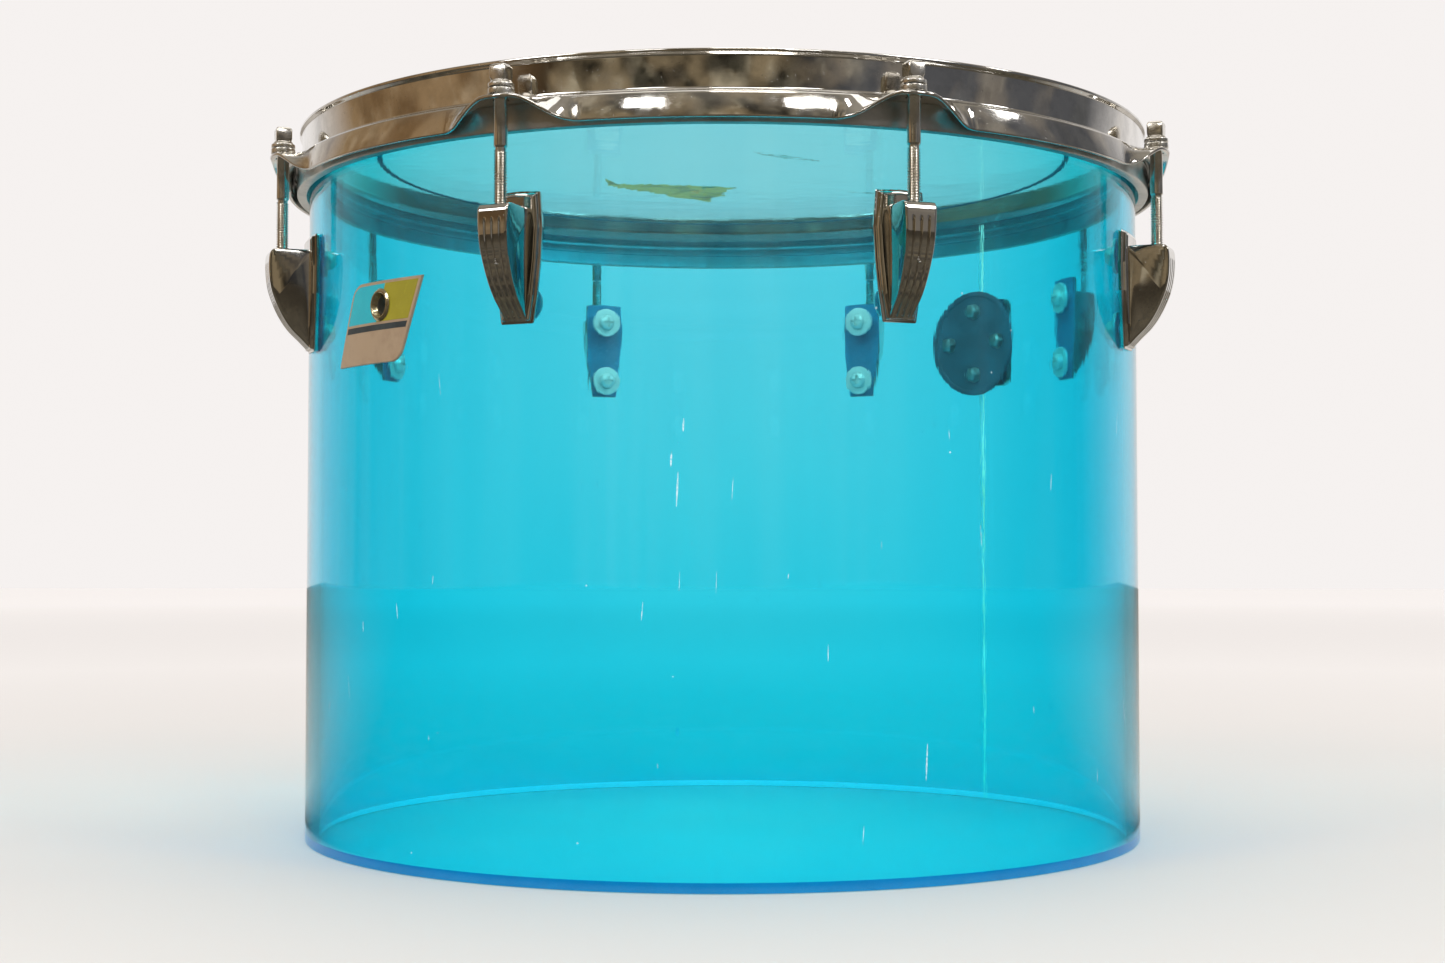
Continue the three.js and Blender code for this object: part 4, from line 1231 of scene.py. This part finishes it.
plate = panel(badge_side(-1, 0), badge_side(1, 0), end_heavy(BADGE_LOW, BADGE_HIGH, 40),
              SHELL_RADIUS + 0.1, SHELL_RADIUS + 1.1, 0.25, 40)
grommet_hole = moved(
    pin(4.7, SHELL_RADIUS - 2, SHELL_RADIUS + 4, 48, 0, GROMMET_HEIGHT),
    spun(GROMMET_ANGLE - BADGE_ANGLE),
)
badge_mesh = carve(make_mesh("badge_plate", [plate], "badge"), [([grommet_hole], "badge")])
show("badge_plate", badge_mesh, "shell_assembly", ["badge"], BADGE_ANGLE)

block_heights = end_heavy(BLOCKS_LOW, BADGE_HIGH - 1.3, 30)
block_radii = (SHELL_RADIUS + 1.0, SHELL_RADIUS + 1.18)
blue_block = panel(badge_side(-1, 1.4), badge_split, block_heights, *block_radii, 0.06, 24)
olive_block = panel(badge_split, badge_side(1, 1.5), block_heights, *block_radii, 0.06, 24)
bar_heights = [BLOCKS_LOW - 3.4, BLOCKS_LOW - 2.2, BLOCKS_LOW - 1.0]
dark_bar = panel(badge_side(-1, 1.6), badge_side(1, 1.6), bar_heights, *block_radii, 0.06, 24)
for name, part, look in (
    ("badge_enamel_left", blue_block, "enamel_blue"),
    ("badge_enamel_right", olive_block, "enamel_olive"),
    ("badge_bar", dark_bar, "bar"),
):
    mesh = make_mesh(name, [part], look)
    if look != "bar":
        mesh = carve(mesh, [([grommet_hole], look)])
    show(name, mesh, "shell_assembly", angle=BADGE_ANGLE)


def make_grommet():
    """The eyelet through the badge and the wall, flared at both ends, with painted shade darkening
    its bore.
    """
    face = SHELL_RADIUS + 1.2
    back = SHELL_INNER - 0.2
    part = turned_ring([
        (3.5, back - 0.6, 0.5), (3.5, face - 1.6, 1.6), (5.1, face + 1.2, 1.0),
        (6.7, face + 0.1, 0.8), (6.4, face, 0.1), (4.6, face, 0), (4.6, back, 0.2),
        (6.3, back - 0.1, 0.3), (6.2, back - 1.3, 0.5), (4.6, back - 1.5, 0.6),
    ], 64, steps=6)
    mesh = make_mesh("grommet", [outward(part, 0, GROMMET_HEIGHT)], "nickel tarnish", 40)
    # The bore's faces take the painted shade.
    for face in mesh.polygons:
        reach = hypot(face.center.x, face.center.z - GROMMET_HEIGHT * MM) / MM
        face.material_index = int(reach < 3.75)
    return mesh


show("grommet", make_grommet(), "shell_assembly",
     ["vent_grommet"], GROMMET_ANGLE)


# ---------- arm holder ----------


def make_backing_disc():
    """A round plate bent to the shell, from (distance from its middle, radius of bend) rings."""
    seat = SHELL_INNER - 0.5
    outline = rounded([
        (0, seat, 0), (9, seat, 0), (18, seat, 0), (27.25, seat, 0.4), (27.25, seat - 2, 0.8),
        (24.9, seat - 2, 0.3), (24.5, seat - 1.4, 0.3), (17, seat - 1.4, 0), (8, seat - 1.4, 0),
        (0, seat - 1.4, 0),
    ], closed=False)
    segments, vertices = 96, []
    for reach, radius in outline:
        for step in range(segments):
            turn = 2 * pi * step / segments
            x = reach * sin(turn)
            vertices.append((x, -sqrt(radius ** 2 - x * x), MOUNT_HEIGHT + reach * cos(turn)))
    faces = grid_faces(len(outline), segments, False, True)
    return make_mesh("backing_disc", [(vertices, faces)], "dark_plate")


def hexagon(radius, z, rounding=0.16, per_side=5):
    """Ring of a six-sided head with slightly soft corners."""
    ring = []
    count = 6 * per_side
    for step in range(count):
        turn = 2 * pi * step / count
        inside = (turn % (pi / 3)) - pi / 6
        flat = radius * cos(pi / 6) / cos(inside)
        reach = mix(flat, radius * 0.93, rounding)
        ring.append((reach * cos(turn), reach * sin(turn), z))
    return ring


def make_bolt(x, z):
    seat = SHELL_INNER - 1.9
    tip = SHELL_RADIUS + 2 - x * x / (2 * SHELL_RADIUS)
    washer = turned_solid([
        (0, seat - 0.9, 0), (4.0, seat - 0.9, 0.3), (4.0, seat + 0.3, 0), (0, seat + 0.3, 0),
    ], 40)
    head = stacked([
        hexagon(3.9, seat - 0.8), hexagon(3.9, seat - 2.9), hexagon(3.45, seat - 3.6, 0.6),
        hexagon(2.4, seat - 4.1, 1.0), hexagon(1.2, seat - 4.25, 1.0),
    ])
    shank = turned_solid([(0, seat, 0), (1.95, seat, 0), (1.95, tip, 0.4), (0, tip, 0)], 32)
    parts = [outward(part, x, MOUNT_HEIGHT + z) for part in (washer, head, shank)]
    return make_mesh("backing_bolt", parts, "bolt")


show("backing_disc", make_backing_disc(), "shell_assembly",
     ["mount_backing_plate"], MOUNT_ANGLE)
for number, (bolt_x, bolt_z) in enumerate(BOLT_PLACES, 1):
    show(f"backing_bolt_{number}", make_bolt(bolt_x, bolt_z), "shell_assembly",
         angle=MOUNT_ANGLE)


def bracket_ring(inset, depth):
    half, tall = 19.7 - inset, 22.75 - inset
    corner = 4.5 - inset * 0.6
    low, high = MOUNT_HEIGHT - tall, MOUNT_HEIGHT + tall
    outline = rounded([
        (half, low, corner), (half, high, corner), (-half, high, corner), (-half, low, corner),
    ], steps=8)
    ring = []
    for x, z in outline:
        y = -(SHELL_RADIUS + depth) if depth else -sqrt((SHELL_RADIUS + 0.1) ** 2 - x * x)
        ring.append((x, y, z))
    return ring


def make_bracket():
    """A clamp with a vertical bore for the arm and a threaded one for the wing screw."""
    plate = stacked([
        bracket_ring(0.3, 0), bracket_ring(0, 0.9), bracket_ring(0, 1.9), bracket_ring(0.3, 2.6),
        bracket_ring(1.0, 3.3), bracket_ring(2.0, 3.7), bracket_ring(3.2, 3.8),
    ])
    bore_line = SHELL_RADIUS + BORE_DEPTH
    shift = Matrix.Translation((0, -bore_line, 0))
    low, high = MOUNT_HEIGHT - 20, MOUNT_HEIGHT + 20
    boss = turned_solid([(0, low, 0), (8.2, low, 1.2), (8.2, high, 1.2), (0, high, 0)], 72)
    boss = moved(boss, shift)
    web = extruded([
        (-9.4, low + 2.5), (9.4, low + 2.5), (9.4, high - 2.5), (-9.4, high - 2.5),
    ], SHELL_RADIUS + 2, bore_line - 2.6, "y")
    clamp = sideways(turned_solid([(0, 2, 0), (6, 2, 0), (6, 17, 0.8), (0, 17, 0)], 56))
    mesh = make_mesh("bracket", [plate], "cast", 28)
    mesh = carve(mesh, [([part], "cast") for part in (web, boss, clamp)], "UNION", 28)
    bore = moved(cylinder(5.3, low - 1, high + 1, 64), shift)
    hole = sideways(cylinder(3.4, 1, 18, 40))
    bolt_holes = [pin(2.4, SHELL_RADIUS - 5, SHELL_RADIUS + 2.3, 24, x, MOUNT_HEIGHT + z)
                  for x, z in BOLT_PLACES]
    return carve(mesh, [(parts, "cast") for parts in ([bore], [hole], bolt_holes)], sharp=28)


def make_pad():
    part = turned_solid([(0, 5.6, 0), (3, 5.6, 0.5), (3, 8.6, 0.3), (0, 8.6, 0)], 40)
    return make_mesh("pad", [sideways(part)], "brass")


def make_wing(side):
    """One wing, from (distance along the clamp axis, distance from it, rounding) corners."""
    depth = SHELL_RADIUS + BORE_DEPTH
    outline = [Vector(point) for point in rounded([
        (24.3, side * 0.4, 0), (24.6, side * 4.2, 3), (27.0, side * 9.6, 3),
        (31.5, side * 10.8, 3), (35.5, side * 9.6, 2.4), (34.6, side * 6.6, 2),
        (30.4, side * 4.2, 3), (28.6, side * 0.4, 0),
    ], steps=5)]
    rings = []
    for offset, inset in (
        (-1.3, 0.75), (-1.15, 0.3), (-0.7, 0), (0.7, 0), (1.15, 0.3), (1.3, 0.75),
    ):
        ring = []
        for index, here in enumerate(outline):
            before, after = outline[index - 1], outline[(index + 1) % len(outline)]
            edge = (after - before).normalized()
            point = here + Vector((edge.y, -edge.x)) * (-inset * side)
            ring.append((point.x, -(depth + offset), MOUNT_HEIGHT + point.y))
        rings.append(ring)
    return stacked(rings)


def make_wing_screw():
    shaft = turned_solid([(0, 8.9, 0), (2.3, 8.9, 0.2), (2.3, 21.6, 0), (0, 21.6, 0)], 32)
    thread = screw_thread(2.95, 0.65, 1.27, 9.2, 20.8, 32)
    collar = turned_solid([
        (0, 20.6, 0), (3.0, 20.6, 0.2), (3.0, 21.3, 0), (4.4, 22.1, 0.5), (4.4, 27.2, 1.2),
        (3.0, 29.0, 1.0), (0, 29.0, 0),
    ], 48)
    parts = [sideways(part) for part in (shaft, thread, collar)]
    return make_mesh("wings", [*parts, make_wing(1), make_wing(-1)], "cast", 35)


show("arm_bracket", make_bracket(), "shell_assembly",
     ["mount_bracket"], MOUNT_ANGLE)
show("pressure_pad", make_pad(), "clamp_pad", ["clamp_pad"], MOUNT_ANGLE)
show("thumb_screw", make_wing_screw(), "wing_screw", ["wing_screw"], MOUNT_ANGLE)


# ---------- stage ----------


FLOOR_GAP = 0.0003  # keeps the floor just clear of the shell's rim


def make_floor():
    mesh = bpy.data.meshes.new("floor")
    work = bmesh.new()
    bmesh.ops.create_grid(work, x_segments=12, y_segments=12, size=9)
    work.to_mesh(mesh)
    work.free()
    mesh.materials.append(floor_material())
    floor = placed("floor", mesh)
    floor.location.z = -FLOOR_GAP


def make_world():
    """An even pale studio, and for mirror reflections a darker, mottled room.

    The room is cool on the right, warm on the far left and pale behind the drum.
    """
    world = bpy.data.worlds.new("studio")
    bpy.context.scene.world = world
    shader = Shader(world, "OutputWorld", "Generated")
    span, tint = shader.span, shader.tint
    split = shader.node("SeparateXYZ", {"Vector": shader.place}).outputs

    def shapes_in(scale, stretch):
        return shader.noise(scale, 3, 0.5, shader.stretched(stretch))

    shapes = span(shapes_in(5.0, (1, 1, 0.35)), 0.44, 0.56)
    streaks = span(shapes_in(16.0, (1, 1, 0.12)), 0.52, 0.6)
    room = tint(shapes, (0.012, 0.01, 0.006), (0.24, 0.185, 0.11))
    lit = tint(shapes, (0.05, 0.045, 0.03), (0.42, 0.36, 0.25))
    room = tint(streaks, room, lit)
    room = tint(span(split["X"], 0.3, 0.6, 0.0, 0.55), room, (0.15, 0.155, 0.17))
    room = tint(span(split["Z"], 0.4, 0.85), room, (0.32, 0.29, 0.24))
    room = tint(span(split["X"], -0.6, -0.92, 0.0, 0.55), room, (0.34, 0.2, 0.09))
    room = tint(span(split["Y"], 0.38, 0.8), room, (0.88, 0.85, 0.83))
    depth = shader.node("LightPath").outputs["Glossy Depth"]
    colour = tint(shader.maths("MINIMUM", depth, 1.0), STUDIO_PALE, room)
    background = shader.node("Background", {"Color": colour, "Strength": 1.0})
    shader.feed(shader.output.inputs["Surface"], background.outputs[0])


def area_light(name, at, towards, size, power, colour):
    lamp = bpy.data.lights.new(name, "AREA")
    lamp.shape = "RECTANGLE"
    lamp.size, lamp.size_y = size
    lamp.energy = power
    lamp.color = colour
    light = placed(name, lamp)
    light.location = at
    aim = Vector(towards) - Vector(at)
    light.rotation_mode = "QUATERNION"
    light.rotation_quaternion = aim.to_track_quat("-Z", "Y")


def make_camera():
    """The photograph's viewpoint: a little right of the front, level with the middle."""
    data = bpy.data.cameras.new("camera")
    data.lens = 51.34
    data.sensor_width = 36
    data.clip_start, data.clip_end = 0.01, 60
    camera = placed("camera", data)
    camera.location = (0.03053, -0.95621, 0.1223)
    camera.rotation_euler = (radians(92.273), 0, radians(1.829))
    bpy.context.scene.camera = camera


make_floor()
make_world()
middle = Vector((0, 0, SHELL_TOP * MM / 2))
WARM_WHITE, DAYLIGHT, TUNGSTEN = (1, 0.98, 0.95), (1, 0.99, 0.97), (1, 0.95, 0.88)
for name, at, size, power, colour in (
    ("left_window", (-1.7, -1.5, 1.75), (0.7, 0.9), 13, DAYLIGHT),
    ("right_window", (1.9, -1.3, 1.75), (0.7, 0.9), 13, DAYLIGHT),
    ("ceiling_lamp", (0.3, -1.5, 2.2), (0.7, 0.3), 7, TUNGSTEN),
    ("overhead", (0, 0.3, 2.6), (1.8, 1.8), 12, WARM_WHITE),
    ("front_left", (-0.62, -1.95, 1.38), (0.34, 0.2), 2.2, WARM_WHITE),
    ("front_right", (0.78, -1.9, 1.38), (0.34, 0.2), 2.2, WARM_WHITE),
    ("side_pane", (1.96, -0.36, 1.4), (0.2, 0.3), 2.4, WARM_WHITE),
):
    area_light(name, at, middle, size, power, colour)
make_camera()
bpy.context.scene.view_settings.view_transform = "Standard"
